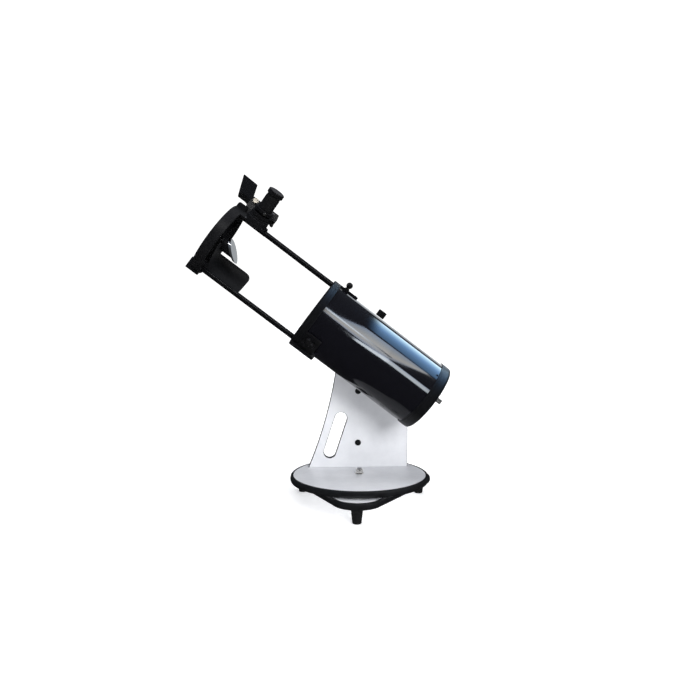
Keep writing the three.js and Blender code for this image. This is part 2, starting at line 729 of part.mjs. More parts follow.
function eyepieceBody() {
  const barrel = 15.8;
  const profile = [
    [14.4, 96], [barrel, 96], [barrel, drawTop + GAP], [16.6, drawTop + GAP], [16.6, eyepieceTop - 7],
    [15.8, eyepieceTop - 6], [15.8, eyepieceTop + 4], [9.5, eyepieceTop + 4], [9.5, 150], [14.4, 146], [14.4, 96],
  ];
  return turned(profile, 22);
}

function eyepieceLens() {
  const low = 122;
  const profile = [[0, low], [9, low + 2], [14.1, low + 2], [14.1, 145.4], [9, 149], [0, 151]];
  return turned(profile, 20);
}

function eyepieceCap() {
  const low = eyepieceTop - GAP * 2;
  const profile = [
    [16.2, low], [18.9, low], [18.9, 168.4], [17.9, 169.5], [0, 169.5], [0, 165.2], [16.2, 165.2], [16.2, low],
  ];
  return turned(profile, 22);
}

// ---------------------------------------------------------------- red-dot finder, in the plane of its own angle
function finderBase() {
  const foot = sidePlate([[352, 93.4], [400, 93.4], [400, 102], [352, 102]], 17.4);
  const body = sidePlate(
    [[352, 100.6], [396, 100.6], [FINDER_FRONT, 103], [FINDER_FRONT, FINDER_TOP], [333, FINDER_TOP],
      [331.6, 130], [331.6, 112.5], [340, 108.5], [350, 104]],
    FINDER_WIDTH,
  );
  const [dialT, dialOut] = DIAL_PLACE;
  const dialPocket = disc(5, 10.4, 40).rotateX(Math.PI / 2).translate(dialOut, 0, dialT);
  const adjusterBore = disc(2.5, 100, 124.5, 16).rotateY(Math.PI / 2).translate(0, 0, ADJUSTER_T);
  return cut(join(foot, body), dialPocket, adjusterBore);
}

const hoodFront = [[437.2, 119], [453.4, 159.4]];
const hoodLean = Math.atan2(hoodFront[1][0] - hoodFront[0][0], hoodFront[1][1] - hoodFront[0][1]);

function finderHood() {
  const rear = FINDER_FRONT + GAP;
  const outside = sidePlate(
    [[rear, 116], [416, 119], ...hoodFront, [413.6, 158.2], [406.2, 137], [rear, FINDER_TOP]],
    HOOD_WIDTH,
  );
  return cut(outside, block(122.5, 154.4, -14.5, 14.5, 390, 470));
}

function finderWindow() {
  return block(-10.6, 10.6, -14.2, 14.2, -1, 1).rotateY(-hoodLean).translate(144, 0, 416);
}

function finderPowerDial() {
  const face = FINDER_WIDTH / 2;
  const knurled = lobedKnob(6.2, 0.8, 12, face + GAP, face + 5, 0.6);
  return join(knurled, disc(4.5, 10.8, face + 1, 20)).rotateX(Math.PI / 2)
    .translate(DIAL_PLACE[1], 0, DIAL_PLACE[0]);
}

function finderAdjuster() {
  return join(disc(4, 102.6, 108, 16), disc(2.2, 107.5, 124.2, 12))
    .rotateY(Math.PI / 2)
    .translate(0, 0, ADJUSTER_T);
}

function finderClampScrew() {
  const head = FINDER_WIDTH / 2 + GAP;
  const screw = join(disc(2.5, 9.3, head + 1, 12), lobedKnob(4.2, 0.8, 8, head, head + 7, 0.6));
  return screw.rotateX(Math.PI / 2).translate(96.5, 0, 372);
}

// ---------------------------------------------------------------- assembly
const telescope = new THREE.Group();

const ground = new THREE.Group();
ground.rotation.z = rad(GROUND_TURN);
ground.add(part("ground_board", groundBoard(), finish.melamine()));
ground.add(part("ground_edge_band", groundEdgeBand(), finish.edging()));
[-90, 30, 150].forEach((direction, i) => {
  const standing = part(`foot_${i + 1}`, foot(), finish.rubber());
  standing.position.set(FOOT_CIRCLE_R * Math.cos(rad(direction)), FOOT_CIRCLE_R * Math.sin(rad(direction)), 0);
  const pad = part(
    `slide_pad_${i + 1}`,
    block(-7, 7, -13, 13, groundHigh + GAP, roundLow - GAP),
    finish.slidePlastic(),
  );
  pad.geometry.translate(146, 0, 0);
  pad.rotation.z = rad(direction);
  ground.add(standing, pad);
});
telescope.add(ground);
telescope.add(part("azimuth_bolt", azimuthBolt(), finish.steel()));

telescope.add(part("round_board", roundBoard(), finish.melamine()));
telescope.add(part("round_edge_band", roundEdgeBand(), finish.edging()));
telescope.add(part("side_arm", sideArm(), finish.melamine()));
telescope.add(part("arm_edging", armEdging(), finish.edging()));
telescope.add(part("arm_brace", armBrace(), finish.melamine()));
["lower", "upper"].forEach((name, i) => {
  const cap = part(`screw_cap_${name}`, screwCap(), finish.blackPlastic());
  cap.position.set(CAP_X, ARM_FRONT_Y, CAP_HEIGHTS[i]);
  telescope.add(cap);
});
telescope.add(part("azimuth_washer", azimuthWasher(), finish.chrome()));
telescope.add(part("azimuth_nut", azimuthNut(), finish.chrome()));

// In this group Z is the optical axis towards the sky, X is up square to it, and Y is the telescope's own Y.
const tube = new THREE.Group();
tube.position.set(0, TUBE_Y, PIVOT_Z);
tube.rotation.y = rad(ALTITUDE - 90);
tube.add(part("saddle", saddle(), finish.blackPlastic()));
tube.add(part("altitude_bolt", altitudeBolt(), finish.steel()));
tube.add(part("friction_washer", frictionWasher(), finish.slidePlastic()));
tube.add(part("altitude_knob", altitudeKnob(), finish.blackPlastic()));
tube.add(part("saddle_clamp_knob", saddleClampKnob(), finish.blackPlastic()));
tube.add(part("dovetail_bar", dovetailBar(), finish.satinBlack()));
tube.add(part("main_tube", mainTube(), finish.glossBlack()));
tube.add(part("front_ring", frontRing(), finish.blackPlastic()));
tube.add(part("rear_cell", rearCell(), finish.blackPlastic()));
tube.add(part("primary_mirror", primaryMirror(), finish.mirror()));
tube.add(part("mirror_support", mirrorSupport(), finish.blackPlastic()));
COLLIMATION_ANGLES.forEach((angle, i) => {
  tube.add(
    part(`collimation_screw_${i + 1}`, atAngle(collimationScrew(), SCREW_CIRCLE_R, angle), finish.chrome()),
    part(`collimation_spring_${i + 1}`, atAngle(collimationSpring(), SCREW_CIRCLE_R, angle), finish.steel()),
  );
});
tube.add(part("rod_clamp_upper", upperRodClamp(), finish.blackPlastic()));
tube.add(part("clamp_knob_upper", outward(upperClampKnob(), 0, CLAMP_SCREW_T), finish.blackPlastic()));
tube.add(part("rod_clamp_lower", lowerRodClamp(), finish.blackPlastic()));
const lowerKnob = outward(lowerClampKnob(), LOWER_KNOB_ANGLE, CLAMP_SCREW_T - 2);
tube.add(part("clamp_knob_lower", lowerKnob, finish.blackPlastic()));

[["upper", ROD_RADIUS], ["lower", -ROD_RADIUS]].forEach(([name, x]) => {
  const rod = part(`truss_rod_${name}`, trussRod(), finish.satinBlack());
  rod.position.x = x;
  tube.add(rod);
});
tube.add(part("cage_ring", cageRing(), finish.blackPlastic()));
tube.add(part("light_shield", lightShield(), finish.blackPlastic()));
tube.add(part("spider", spider(), finish.satinBlack()));
tube.add(part("secondary_holder", secondaryHolder(), finish.blackPlastic()));
tube.add(part("secondary_mirror", secondaryMirror(), finish.mirror()));

// Z of this group is the focuser's axis, measured out from the optical axis.
const focuserTurn = new THREE.Group();
focuserTurn.rotation.z = rad(FOCUS_ANGLE);
const focuser = new THREE.Group();
focuser.position.z = FOCUS_T;
focuser.rotation.y = Math.PI / 2;
focuser.add(part("focus_ring", focusRing(), finish.blackPlastic()));
focuser.add(part("draw_tube", drawTube(), finish.blackPlastic()));
SET_SCREW_ANGLES.forEach((angle, i) => {
  focuser.add(part(`eyepiece_set_screw_${i + 1}`, setScrew(angle), finish.chrome()));
});
focuser.add(part("eyepiece_body", eyepieceBody(), finish.blackPlastic()));
focuser.add(part("eyepiece_lens", eyepieceLens(), finish.glass()));
focuser.add(part("eyepiece_cap", eyepieceCap(), finish.blackPlastic()));
focuserTurn.add(focuser);
tube.add(focuserTurn);

const finder = new THREE.Group();
finder.rotation.z = rad(FINDER_ANGLE);
finder.add(part("finder_base", finderBase(), finish.blackPlastic()));
finder.add(part("finder_hood", finderHood(), finish.blackPlastic()));
finder.add(part("finder_window", finderWindow(), finish.glass()));
finder.add(part("finder_power_dial", finderPowerDial(), finish.steel()));
finder.add(part("finder_adjuster", finderAdjuster(), finish.blackPlastic()));
finder.add(part("finder_clamp_screw", finderClampScrew(), finish.chrome()));
tube.add(finder);
telescope.add(tube);

// The origin is the middle of the whole telescope's footprint box, on the surface that it stands on.
const root = new THREE.Group();
root.add(telescope);
root.updateMatrixWorld(true);
const bounds = new THREE.Box3().setFromObject(root, true);
const middle = bounds.getCenter(new V3());
telescope.position.set(-middle.x, -middle.y, -bounds.min.z);

export default root;
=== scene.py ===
# A 130 mm newtonian reflector with a collapsing two-rod tube, on a table-top, single-arm turning base.
# Shapes are built in millimetres in the frame of the part they belong to, and placed in metres.
import json
import math

import bmesh
import bpy
from mathutils import Matrix, Vector


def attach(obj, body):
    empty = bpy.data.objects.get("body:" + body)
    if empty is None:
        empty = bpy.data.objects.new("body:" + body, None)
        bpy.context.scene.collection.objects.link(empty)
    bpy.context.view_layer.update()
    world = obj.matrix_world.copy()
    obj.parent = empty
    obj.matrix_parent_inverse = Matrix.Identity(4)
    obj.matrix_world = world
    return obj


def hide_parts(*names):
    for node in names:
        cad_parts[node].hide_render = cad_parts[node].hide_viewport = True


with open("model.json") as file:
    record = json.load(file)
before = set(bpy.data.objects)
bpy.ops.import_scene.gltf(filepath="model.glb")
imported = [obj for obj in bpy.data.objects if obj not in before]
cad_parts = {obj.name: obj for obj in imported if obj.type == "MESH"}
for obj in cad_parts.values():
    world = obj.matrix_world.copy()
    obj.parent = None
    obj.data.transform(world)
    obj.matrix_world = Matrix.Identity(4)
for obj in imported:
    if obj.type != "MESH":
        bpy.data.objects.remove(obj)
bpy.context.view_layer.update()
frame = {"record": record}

MM = 0.001
GAP = 0.3  # mm between pieces that touch

# ---------------------------------------------------------------- sizes, mm, and angles, degrees
# Heights of the base are from the floor. The tube's are distances out from its axis (R, TOP, WIDTH,
# FACE) or along it to the sky from the altitude axis (T, REAR, FRONT). Some outermost sizes are a hair
# under the CAD part's, so that the fine rounding of the visual stays inside its box.
THREE_WAYS = (-90, 30, 150)
FOOT_HEIGHT = 34
FOOT_TOP_R = 13.8
FOOT_BOTTOM_R = 10.2
FOOT_CIRCLE_R = 168
BOARD = 15
EDGE_BAND = 7.4
BAND_LAP = 0.4
BAND_NOSE = 4.6
GROUND_REACH = 191.33
GROUND_CORNER_R = 58.2
GROUND_TURN = -5.6
BOARD_SPACE = 4
ROUND_BOARD_R = 157.75
BOLT_R = 5
GROUND_TOP = FOOT_HEIGHT + BOARD
ROUND_LOW = GROUND_TOP + BOARD_SPACE
ROUND_TOP = ROUND_LOW + BOARD

ARM_FRONT_Y = 65.4
ARM_TOP_R = 46
ARM_RIGHT_X = 124.5
ARM_CURVE_X = -1080
ARM_CURVE_Z = 468
ARM_SLOPE_Z = 184
ARM_EDGING = 1.2
SLOT_R = 15
SLOT_LINING = 1.1
SLOT_TOP = (-41.5, 190.5)
SLOT_BOTTOM = (-69, 107)
CAP_X = 0.8
CAP_HEIGHTS = (129.7, 258.4)
BRACE_DEPTH = 66
BRACE_TOP_Z = 300

PIVOT_Z = 374.2
TUBE_Y = -42.6
TUBE_R = 82
TUBE_REAR = -190
TUBE_FRONT = 136.3
RING_R = 86.5
RING_REAR = 122
RING_FRONT = 139.6
RING_BORE_R = 79.5
CELL_R = 83.95
CELL_FRONT = -173
CELL_REAR = -199
MIRROR_R = 65
MIRROR_FRONT = -160
MIRROR_EDGE = 16
MIRROR_CURVE_R = 1300
SCREW_CIRCLE_R = 50
COLLIMATION_ANGLES = (-78, 42, 162)

ROD_R = 6.4
ROD_RADIUS = 74.3
ROD_REAR = 60
ROD_FRONT = 405
CAGE_REAR = 393
CAGE_FRONT = 417
CAGE_BORE_R = 79.4
LUG_REAR = 396.5
LUG_FRONT = 426.95
UPPER_LUG_R = 97.5
LOWER_LUG_R = 93
BRIDGE_REAR = 331
CLAMP_REAR = 74
CLAMP_T = 106
LOWER_CLAMP_R = 92.3
LOWER_KNOB_ANGLE = 230
SHIELD_R = 78.9
SHIELD_REAR = 301
SHIELD_ARC = (108, 170.8)
SHIELD_CORNERS = (14, 7)

FOCUS_T = 358
FOCUS_ANGLE = -17
FOCUS_BODY_R = 25.7
FOCUS_BODY_TOP = 101
FOCUS_RING_R = 23.2
FOCUS_BORE_R = 19
RING_TOP = FOCUS_BODY_TOP + 8.5
DRAW_TOP = 122
SET_SCREW_ANGLES = (17, 137)
EYEPIECE_TOP = 159.7
SECONDARY_T = 361
SECONDARY_R = 20
HUB_REAR = 397
HUB_FRONT = 411
FINDER_ANGLE = 20
FINDER_WIDTH = 26
FINDER_TOP = 131.5
FINDER_FRONT = 405
HOOD_WIDTH = 34
HOOD_FRONT = ((437.2, 119), (453.4, 159.4))
DIAL_PLACE = (394, 124.2)
ADJUSTER_T = 333

BAR_FACE = 97
BAR_LENGTH = 130
SADDLE_LENGTH = 58
ARM_FRONT = ARM_FRONT_Y - TUBE_Y
SADDLE_BACK = ARM_FRONT - 2.6
BEVEL_ANGLE = 40

# ---------------------------------------------------------------- frames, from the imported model's joints
joints = {j["name"]: j for j in frame["record"]["behaviour"]["joints"]}


def turn(axis, degrees):
    return Matrix.Rotation(math.radians(degrees), 4, axis)


def axes(x, y, z):
    """A frame whose X, Y and Z lie along these directions."""
    return Matrix((x, y, z)).transposed().to_4x4()


def shift(x, y, z):
    return Matrix.Translation((x, y, z))


azimuth = Vector(joints["azimuth_turn"]["pos_m"])
pivot = Vector(joints["altitude_tilt"]["pos_m"])
sky = Vector(joints["truss_slide"]["axis"]).normalized()
up = Vector((sky.z, 0, -sky.x))
BASE = shift(azimuth.x, azimuth.y, 0) @ Matrix.Scale(MM, 4)
GROUND = BASE @ turn("Z", GROUND_TURN)
# X out of the tube upwards, Y the telescope's own Y, Z along the optical axis to the sky
TUBE = shift(*pivot) @ axes(up, (0, 1, 0), sky) @ Matrix.Scale(MM, 4)
OUT = turn("Y", 90)
UPRIGHT = turn("X", 90)
ACROSS = axes((0, 0, 1), (1, 0, 0), (0, 1, 0))
LAID = axes((0, 0, 1), (0, 1, 0), (1, 0, 0))


def outward(angle, t):
    """Z points out from the optical axis at an angle round the tube, and X towards the mirror."""
    return TUBE @ turn("Z", angle) @ shift(0, 0, t) @ OUT


FOCUS = outward(FOCUS_ANGLE, FOCUS_T)
FINDER = TUBE @ turn("Z", FINDER_ANGLE)
FOCUS_AT = turn("Z", FOCUS_ANGLE) @ shift(0, 0, FOCUS_T)
FINDER_CLAMP_AT = shift(96.5, 0, 372) @ UPRIGHT
NO_MOVE = Matrix()

# ---------------------------------------------------------------- mesh helpers


def revolve(profile, segments=96):
    """Turns (radius, height) points about Z. They start and end on the axis, or close on themselves."""
    bm = bmesh.new()
    closed = profile[0] == profile[-1] and profile[0][0] > 0
    points = profile[:-1] if closed else profile
    rings = []
    for r, z in points:
        if r == 0:
            rings.append([bm.verts.new((0, 0, z))])
            continue
        ring = []
        for i in range(segments):
            a = 2 * math.pi * i / segments
            ring.append(bm.verts.new((r * math.cos(a), r * math.sin(a), z)))
        rings.append(ring)
    count = len(rings)
    for k in range(count if closed else count - 1):
        low, high = rings[k], rings[(k + 1) % count]
        for i in range(segments):
            j = (i + 1) % segments
            corners = [low[i % len(low)], low[j % len(low)], high[j % len(high)], high[i % len(high)]]
            face = [v for n, v in enumerate(corners) if v not in corners[:n]]
            if len(face) > 2:
                bm.faces.new(face)
    bmesh.ops.recalc_face_normals(bm, faces=bm.faces)
    return bm


def prism(outline, low, high, holes=()):
    """An outline of (x, y) points, with holes, from one height to another."""
    bm = bmesh.new()
    for loop in (outline, *holes):
        verts = [bm.verts.new((x, y, low)) for x, y in loop]
        for a, b in zip(verts, verts[1:] + verts[:1]):
            bm.edges.new((a, b))
    if holes:
        bmesh.ops.triangle_fill(bm, edges=bm.edges, use_beauty=True)
    else:
        bm.faces.new(bm.verts)
    made = bmesh.ops.extrude_face_region(bm, geom=bm.faces)
    raised = [v for v in made["geom"] if isinstance(v, bmesh.types.BMVert)]
    bmesh.ops.translate(bm, verts=raised, vec=(0, 0, high - low))
    bmesh.ops.recalc_face_normals(bm, faces=bm.faces)
    return bm


def box(x0, x1, y0, y1, z0, z1):
    return prism([(x0, y0), (x1, y0), (x1, y1), (x0, y1)], z0, z1)


def loft(sections, closed=False):
    """Joins sections of equal point counts, each a closed loop; the ends are capped unless it is closed."""
    bm = bmesh.new()
    rings = [[bm.verts.new(p) for p in section] for section in sections]
    pairs = list(zip(rings, rings[1:])) + ([(rings[-1], rings[0])] if closed else [])
    for a, b in pairs:
        for i in range(len(a)):
            j = (i + 1) % len(a)
            bm.faces.new((a[i], a[j], b[j], b[i]))
    if not closed:
        bm.faces.new(rings[0])
        bm.faces.new(rings[-1])
    bmesh.ops.recalc_face_normals(bm, faces=bm.faces)
    return bm


def moved(bm, matrix):
    bm.transform(matrix)
    return bm


def fused(*meshes):
    """Several bodies in one mesh, side by side."""
    target = meshes[0]
    for other in meshes[1:]:
        mesh = bpy.data.meshes.new("fused")
        other.to_mesh(mesh)
        target.from_mesh(mesh)
        bpy.data.meshes.remove(mesh)
        other.free()
    return target


def as_object(name, bm, *materials):
    mesh = bpy.data.meshes.new(name)
    bm.to_mesh(mesh)
    bm.free()
    for material in materials:
        mesh.materials.append(material)
    made = bpy.data.objects.new(name, mesh)
    bpy.context.scene.collection.objects.link(made)
    return made


def solid(operation, first, *tools):
    """UNION, DIFFERENCE or INTERSECT of closed bodies, by Blender's boolean."""
    objects = [as_object("work", bm) for bm in (first, *tools)]
    for tool in objects[1:]:
        modifier = objects[0].modifiers.new("boolean", "BOOLEAN")
        modifier.operation = operation
        modifier.solver = "EXACT"
        modifier.object = tool
    evaluated = objects[0].evaluated_get(bpy.context.evaluated_depsgraph_get())
    result = bmesh.new()
    result.from_mesh(evaluated.to_mesh())
    for made in objects:
        mesh = made.data
        bpy.data.objects.remove(made)
        bpy.data.meshes.remove(mesh)
    bmesh.ops.remove_doubles(result, verts=result.verts, dist=1e-4)
    bmesh.ops.dissolve_degenerate(result, edges=result.edges, dist=1e-4)
    return result


def arc(cx, cy, r, start, end, steps):
    angles = (math.radians(start + (end - start) * i / steps) for i in range(steps + 1))
    return [(cx + r * math.cos(a), cy + r * math.sin(a)) for a in angles]


def softened(inner, outer, low, high, by=0.6):
    """A ring's section with all four corners rounded."""
    points = arc(inner + by, low + by, by, 180, 270, 3) + arc(outer - by, low + by, by, 270, 360, 3)
    points += arc(outer - by, high - by, by, 0, 90, 3) + arc(inner + by, high - by, by, 90, 180, 3)
    return points + points[:1]


def rod(r, low, high, segments=48, by=None):
    """A solid round bar with rounded ends."""
    by = min(0.5, r / 4) if by is None else by
    side = arc(r - by, low + by, by, -90, 0, 3) + arc(r - by, high - by, by, 0, 90, 3)
    return revolve([(0, low)] + side + [(0, high)], segments)


def cross_hole(r, start, end, place, **shape):
    """A round tool along X of a frame, for a hole out through a wall."""
    return moved(rod(r, start, end, **shape), place @ OUT)


def wave_outline(r, depth, count, steps=8, power=1.0):
    """A round outline with lobes or knurls."""
    points = []
    for i in range(count * steps):
        a = 2 * math.pi * i / (count * steps)
        reach = r - depth + depth * (0.5 + 0.5 * math.cos(count * a)) ** power
        points.append((reach * math.cos(a), reach * math.sin(a)))
    return points


def knob(outline, low, high, crown=1.5, steps=4):
    """A moulded knob: the outline drawn in towards both faces along a quarter round."""
    sections = []
    reach = max(math.hypot(x, y) for x, y in outline)
    for face, sign in ((low, 1), (high, -1)):
        part = []
        for i in range(steps + 1):
            a = math.pi / 2 * i / steps
            inset = crown * (1 - math.sin(a))
            scale = (reach - inset) / reach
            z = face + sign * crown * (1 - math.cos(a))
            part.append([(x * scale, y * scale, z) for x, y in outline])
        sections += part if sign == 1 else part[::-1]
    return loft(sections)


def side_plate(outline, width):
    """An outline of (along the tube, out from the axis) as a plate across the tangent direction."""
    return moved(prism(outline, -width / 2, width / 2), ACROSS)


def rectangle(x0, x1, half):
    return [(x0, -half), (x1, -half), (x1, half), (x0, half)]


def between(start, bend, end, u):
    """A point on the curve from start to end that leans towards bend."""
    return (1 - u) ** 2 * start + 2 * u * (1 - u) * bend + u * u * end


def rounded(points, radius, steps=4):
    """A polygon with its corners rounded; radius is one number or one for each corner."""
    radii = radius if isinstance(radius, (list, tuple)) else [radius] * len(points)
    result = []
    for i, point in enumerate(points):
        here = Vector(point)
        before = Vector(points[i - 1]) - here
        after = Vector(points[(i + 1) % len(points)]) - here
        half = before.angle(after) / 2
        reach = min(radii[i] / math.tan(half), before.length * 0.49, after.length * 0.49)
        start = here + before.normalized() * reach
        end = here + after.normalized() * reach
        for k in range(steps + 1):
            result.append(tuple(between(start, here, end, k / steps)))
    return result


# ---------------------------------------------------------------- materials


class Look:
    """A node tree, with short calls for the nodes that the looks are made of."""

    def __init__(self, owner, shader="Principled BSDF"):
        owner.use_nodes = True
        self.owner, self.tree = owner, owner.node_tree
        self.shader = self.tree.nodes[shader]

    def put(self, socket, value):
        """Gives a socket a number or a colour, or links it to another node's output."""
        if isinstance(value, bpy.types.NodeSocket):
            self.tree.links.new(value, socket)
        else:
            socket.default_value = value

    def set(self, name, value):
        self.put(self.shader.inputs[name], value)

    def add(self, kind, output, **inputs):
        """A new node with its sockets filled by name, and the output that is wanted of it."""
        node = self.tree.nodes.new("ShaderNode" + kind)
        for name, value in inputs.items():
            self.put(node.inputs[name.replace("_", " ")], value)
        return node.outputs[output]

    def axis(self, coordinates, letter):
        return self.add("SeparateXYZ", letter, Vector=self.add("TexCoord", coordinates))

    def noise(self, scale, detail=4.0, rough=0.55):
        return self.add("TexNoise", "Fac", Vector=self.place, Scale=scale, Detail=detail, Roughness=rough)

    def spread(self, value, low, high, start=0.3, end=0.7):
        """Maps a noise value to a range."""
        return self.add("MapRange", "Result", Value=value,
                        From_Min=start, From_Max=end, To_Min=low, To_Max=high)

    def ramp(self, value, *stops):
        node = self.tree.nodes.new("ShaderNodeValToRGB")
        elements = node.color_ramp.elements
        while len(elements) < len(stops):
            elements.new(0.5)
        for element, (position, colour) in zip(elements, stops):
            element.position = position
            element.color = (*colour, 1)
        self.put(node.inputs["Fac"], value)
        return node.outputs["Color"]

    def rough(self, scale, low, high):
        """Uneven roughness, in patches of the noise's scale."""
        self.set("Roughness", self.spread(self.noise(scale), low, high))

    def bump(self, height, distance, strength, **below):
        """Bump on the shader, over an earlier bump if Normal is given."""
        normal = self.add("Bump", "Normal", Height=height, Distance=distance, Strength=strength, **below)
        self.set("Normal", normal)
        return normal

    def edge_wear(self, colour, worn, amount):
        """Lightens the convex edges, broken up by noise."""
        product = self.tree.nodes.new("ShaderNodeMath")
        product.operation = "MULTIPLY"
        self.put(product.inputs[0], self.spread(self.add("NewGeometry", "Pointiness"), 0, 1, 0.52, 0.62))
        self.put(product.inputs[1], self.spread(self.noise(260), 0, amount))
        mix = self.tree.nodes.new("ShaderNodeMix")
        mix.data_type = "RGBA"
        self.put(mix.inputs["Factor"], product.outputs[0])
        colour_a, colour_b = mix.inputs[6:8]
        self.put(colour_a, colour)
        self.put(colour_b, (*worn, 1))
        return mix.outputs[2]


def surface(name):
    look = Look(bpy.data.materials.new(name))
    look.place = look.add("TexCoord", "Object")
    return look


def scaled(colour, factor):
    return tuple(min(1, c * factor) for c in colour)


def melamine():
    """Pale laminate: faint mottling, a fine print pebble, and a little grime."""
    look = surface("melamine_board")
    mottle = look.noise(18, 6, 0.6)
    pale = (0.3, (0.68, 0.69, 0.72)), (0.55, (0.74, 0.75, 0.78)), (0.75, (0.77, 0.78, 0.80))
    look.set("Base Color", look.ramp(mottle, *pale))
    look.rough(90, 0.34, 0.52)
    look.bump(look.noise(1600, 3), 0.00006, 0.5)
    return look.owner


def rubber_edging(name, colour=(0.0045, 0.0048, 0.0055), low=0.36, high=0.52, wear=0.3):
    """Rubbery extrusion: a fine skin over slow waves, paler where it is rubbed."""
    look = surface(name)
    base = look.ramp(look.noise(60), (0.3, colour), (0.75, scaled(colour, 1.7)))
    look.set("Base Color", look.edge_wear(base, tuple(c * 3 + 0.004 for c in colour), wear))
    look.set("Specular IOR Level", 0.3)
    look.rough(240, low, high)
    fine = look.bump(look.noise(2600, 2), 0.00004, 0.2)
    look.bump(look.noise(120, 3), 0.0001, 0.12, Normal=fine)
    return look.owner


def moulded_black(name, colour=(0.0022, 0.0022, 0.0027), low=0.36, high=0.48, grain=2200, depth=0.00004,
                  coat=0.0):
    """Moulded plastic: fine spark-eroded grain, uneven sheen, paler worn edges."""
    look = surface(name)
    base = look.ramp(look.noise(45), (0.3, colour), (0.75, scaled(colour, 1.5)))
    look.set("Base Color", look.edge_wear(base, (0.016, 0.016, 0.018), 0.3))
    look.rough(150, low, high)
    look.set("Specular IOR Level", 0.3)
    look.set("Coat Weight", coat)
    look.set("Coat Roughness", 0.2)
    look.bump(look.noise(grain, 2), depth, 0.25)
    return look.owner


def gloss_paint():
    """Deep gloss black enamel on sheet steel: faint orange peel, long rolling waves, fine dust."""
    look = surface("gloss_black_paint")
    dust = look.spread(look.noise(5200, 2, 0.7), 0, 1, 0.66, 0.8)
    look.set("Base Color", look.ramp(dust, (0.0, (0.0035, 0.0035, 0.005)), (1.0, (0.012, 0.013, 0.016))))
    look.set("IOR", 1.36)
    look.set("Roughness", look.spread(look.noise(22, 5, 0.65), 0.05, 0.1))
    peel = look.bump(look.noise(420, 2), 0.00003, 0.12)
    look.bump(look.noise(9, 2), 0.0012, 0.06, Normal=peel)
    return look.owner


def bare_metal(name, colour, low, high):
    """Plated metal with fine scratches."""
    look = surface(name)
    look.set("Base Color", look.ramp(look.noise(130), (0.3, scaled(colour, 0.86)), (0.7, colour)))
    look.set("Metallic", 1.0)
    scratches = look.noise(900, 3, 0.6)
    look.set("Roughness", look.spread(scratches, low, high))
    look.bump(scratches, 0.00003, 0.4)
    return look.owner


def anodised_rod():
    """Satin black tube with faint slide marks."""
    look = surface("black_anodised")
    marks = look.noise(70, 3, 0.5)
    look.set("Base Color", look.ramp(marks, (0.35, (0.003, 0.003, 0.0036)), (0.8, (0.007, 0.007, 0.008))))
    look.set("Metallic", 0.35)
    look.rough(90, 0.16, 0.24)
    look.bump(marks, 0.00005, 0.1)
    return look.owner


def mirror_coat():
    """Aluminised glass with the faintest haze."""
    look = surface("mirror_coating")
    haze = look.noise(30, 5)
    look.set("Base Color", look.ramp(haze, (0.3, (0.90, 0.92, 0.94)), (0.7, (0.95, 0.96, 0.97))))
    look.set("Metallic", 1.0)
    look.set("Roughness", look.spread(haze, 0.015, 0.05))
    return look.owner


def clear_glass(name, tint):
    look = surface(name)
    look.set("Base Color", look.ramp(look.noise(50), (0.3, tint), (0.8, scaled(tint, 1.03))))
    look.set("Transmission Weight", 1.0)
    look.set("IOR", 1.5)
    look.rough(80, 0.0, 0.03)
    look.set("Coat Weight", 0.3)
    return look.owner


def slide_plastic():
    """White low-friction plastic, a little scuffed."""
    look = surface("white_slide_plastic")
    wear = look.noise(200, 4)
    look.set("Base Color", look.ramp(wear, (0.3, (0.74, 0.74, 0.71)), (0.7, (0.83, 0.83, 0.8))))
    look.set("Roughness", look.spread(wear, 0.3, 0.5))
    look.bump(look.noise(900, 2), 0.00005, 0.4)
    return look.owner


MELAMINE = melamine()
EDGING = rubber_edging("black_edging")
FOOT = rubber_edging("foot_rubber", (0.006, 0.006, 0.0065), 0.46, 0.66, 0.2)
GRIP = rubber_edging("grip_rubber", (0.004, 0.004, 0.0045), 0.5, 0.7, 0.15)
PAINT = gloss_paint()
BLACK = moulded_black("black_plastic")
SATIN = moulded_black("satin_casting", (0.003, 0.0032, 0.004), 0.42, 0.54, 1500, 0.00003)
GLOSSY = moulded_black("semi_gloss_plastic", (0.0025, 0.0025, 0.003), 0.2, 0.3, 1500, 0.00002, 0.15)
KNOB = moulded_black("knob_plastic", (0.0035, 0.0035, 0.004), 0.32, 0.48, 1800, 0.00006)
# painted top light: the cap's flat top face is coloured far paler than the rest of the black cap, as if lit
# from overhead
CAP_FACE_PAINTED_LIGHT = moulded_black("cap_face_painted_top_light", (0.028, 0.028, 0.030), 0.4, 0.55, 1800, 0.00008)
ROD = anodised_rod()
FLOCK = moulded_black("matt_black_inside", (0.003, 0.003, 0.0034), 0.6, 0.8, 3000, 0.00008)
CHROME = bare_metal("chrome", (0.88, 0.86, 0.82), 0.14, 0.3)
STEEL = bare_metal("zinc_steel", (0.55, 0.55, 0.57), 0.25, 0.42)
BRASS = bare_metal("worn_nickel", (0.72, 0.66, 0.56), 0.18, 0.36)
MIRROR = mirror_coat()
GLASS = clear_glass("coated_glass", (0.86, 0.93, 0.95))
LENS = clear_glass("lens_glass", (0.80, 0.9, 0.84))
WHITE = slide_plastic()

# ---------------------------------------------------------------- making a piece


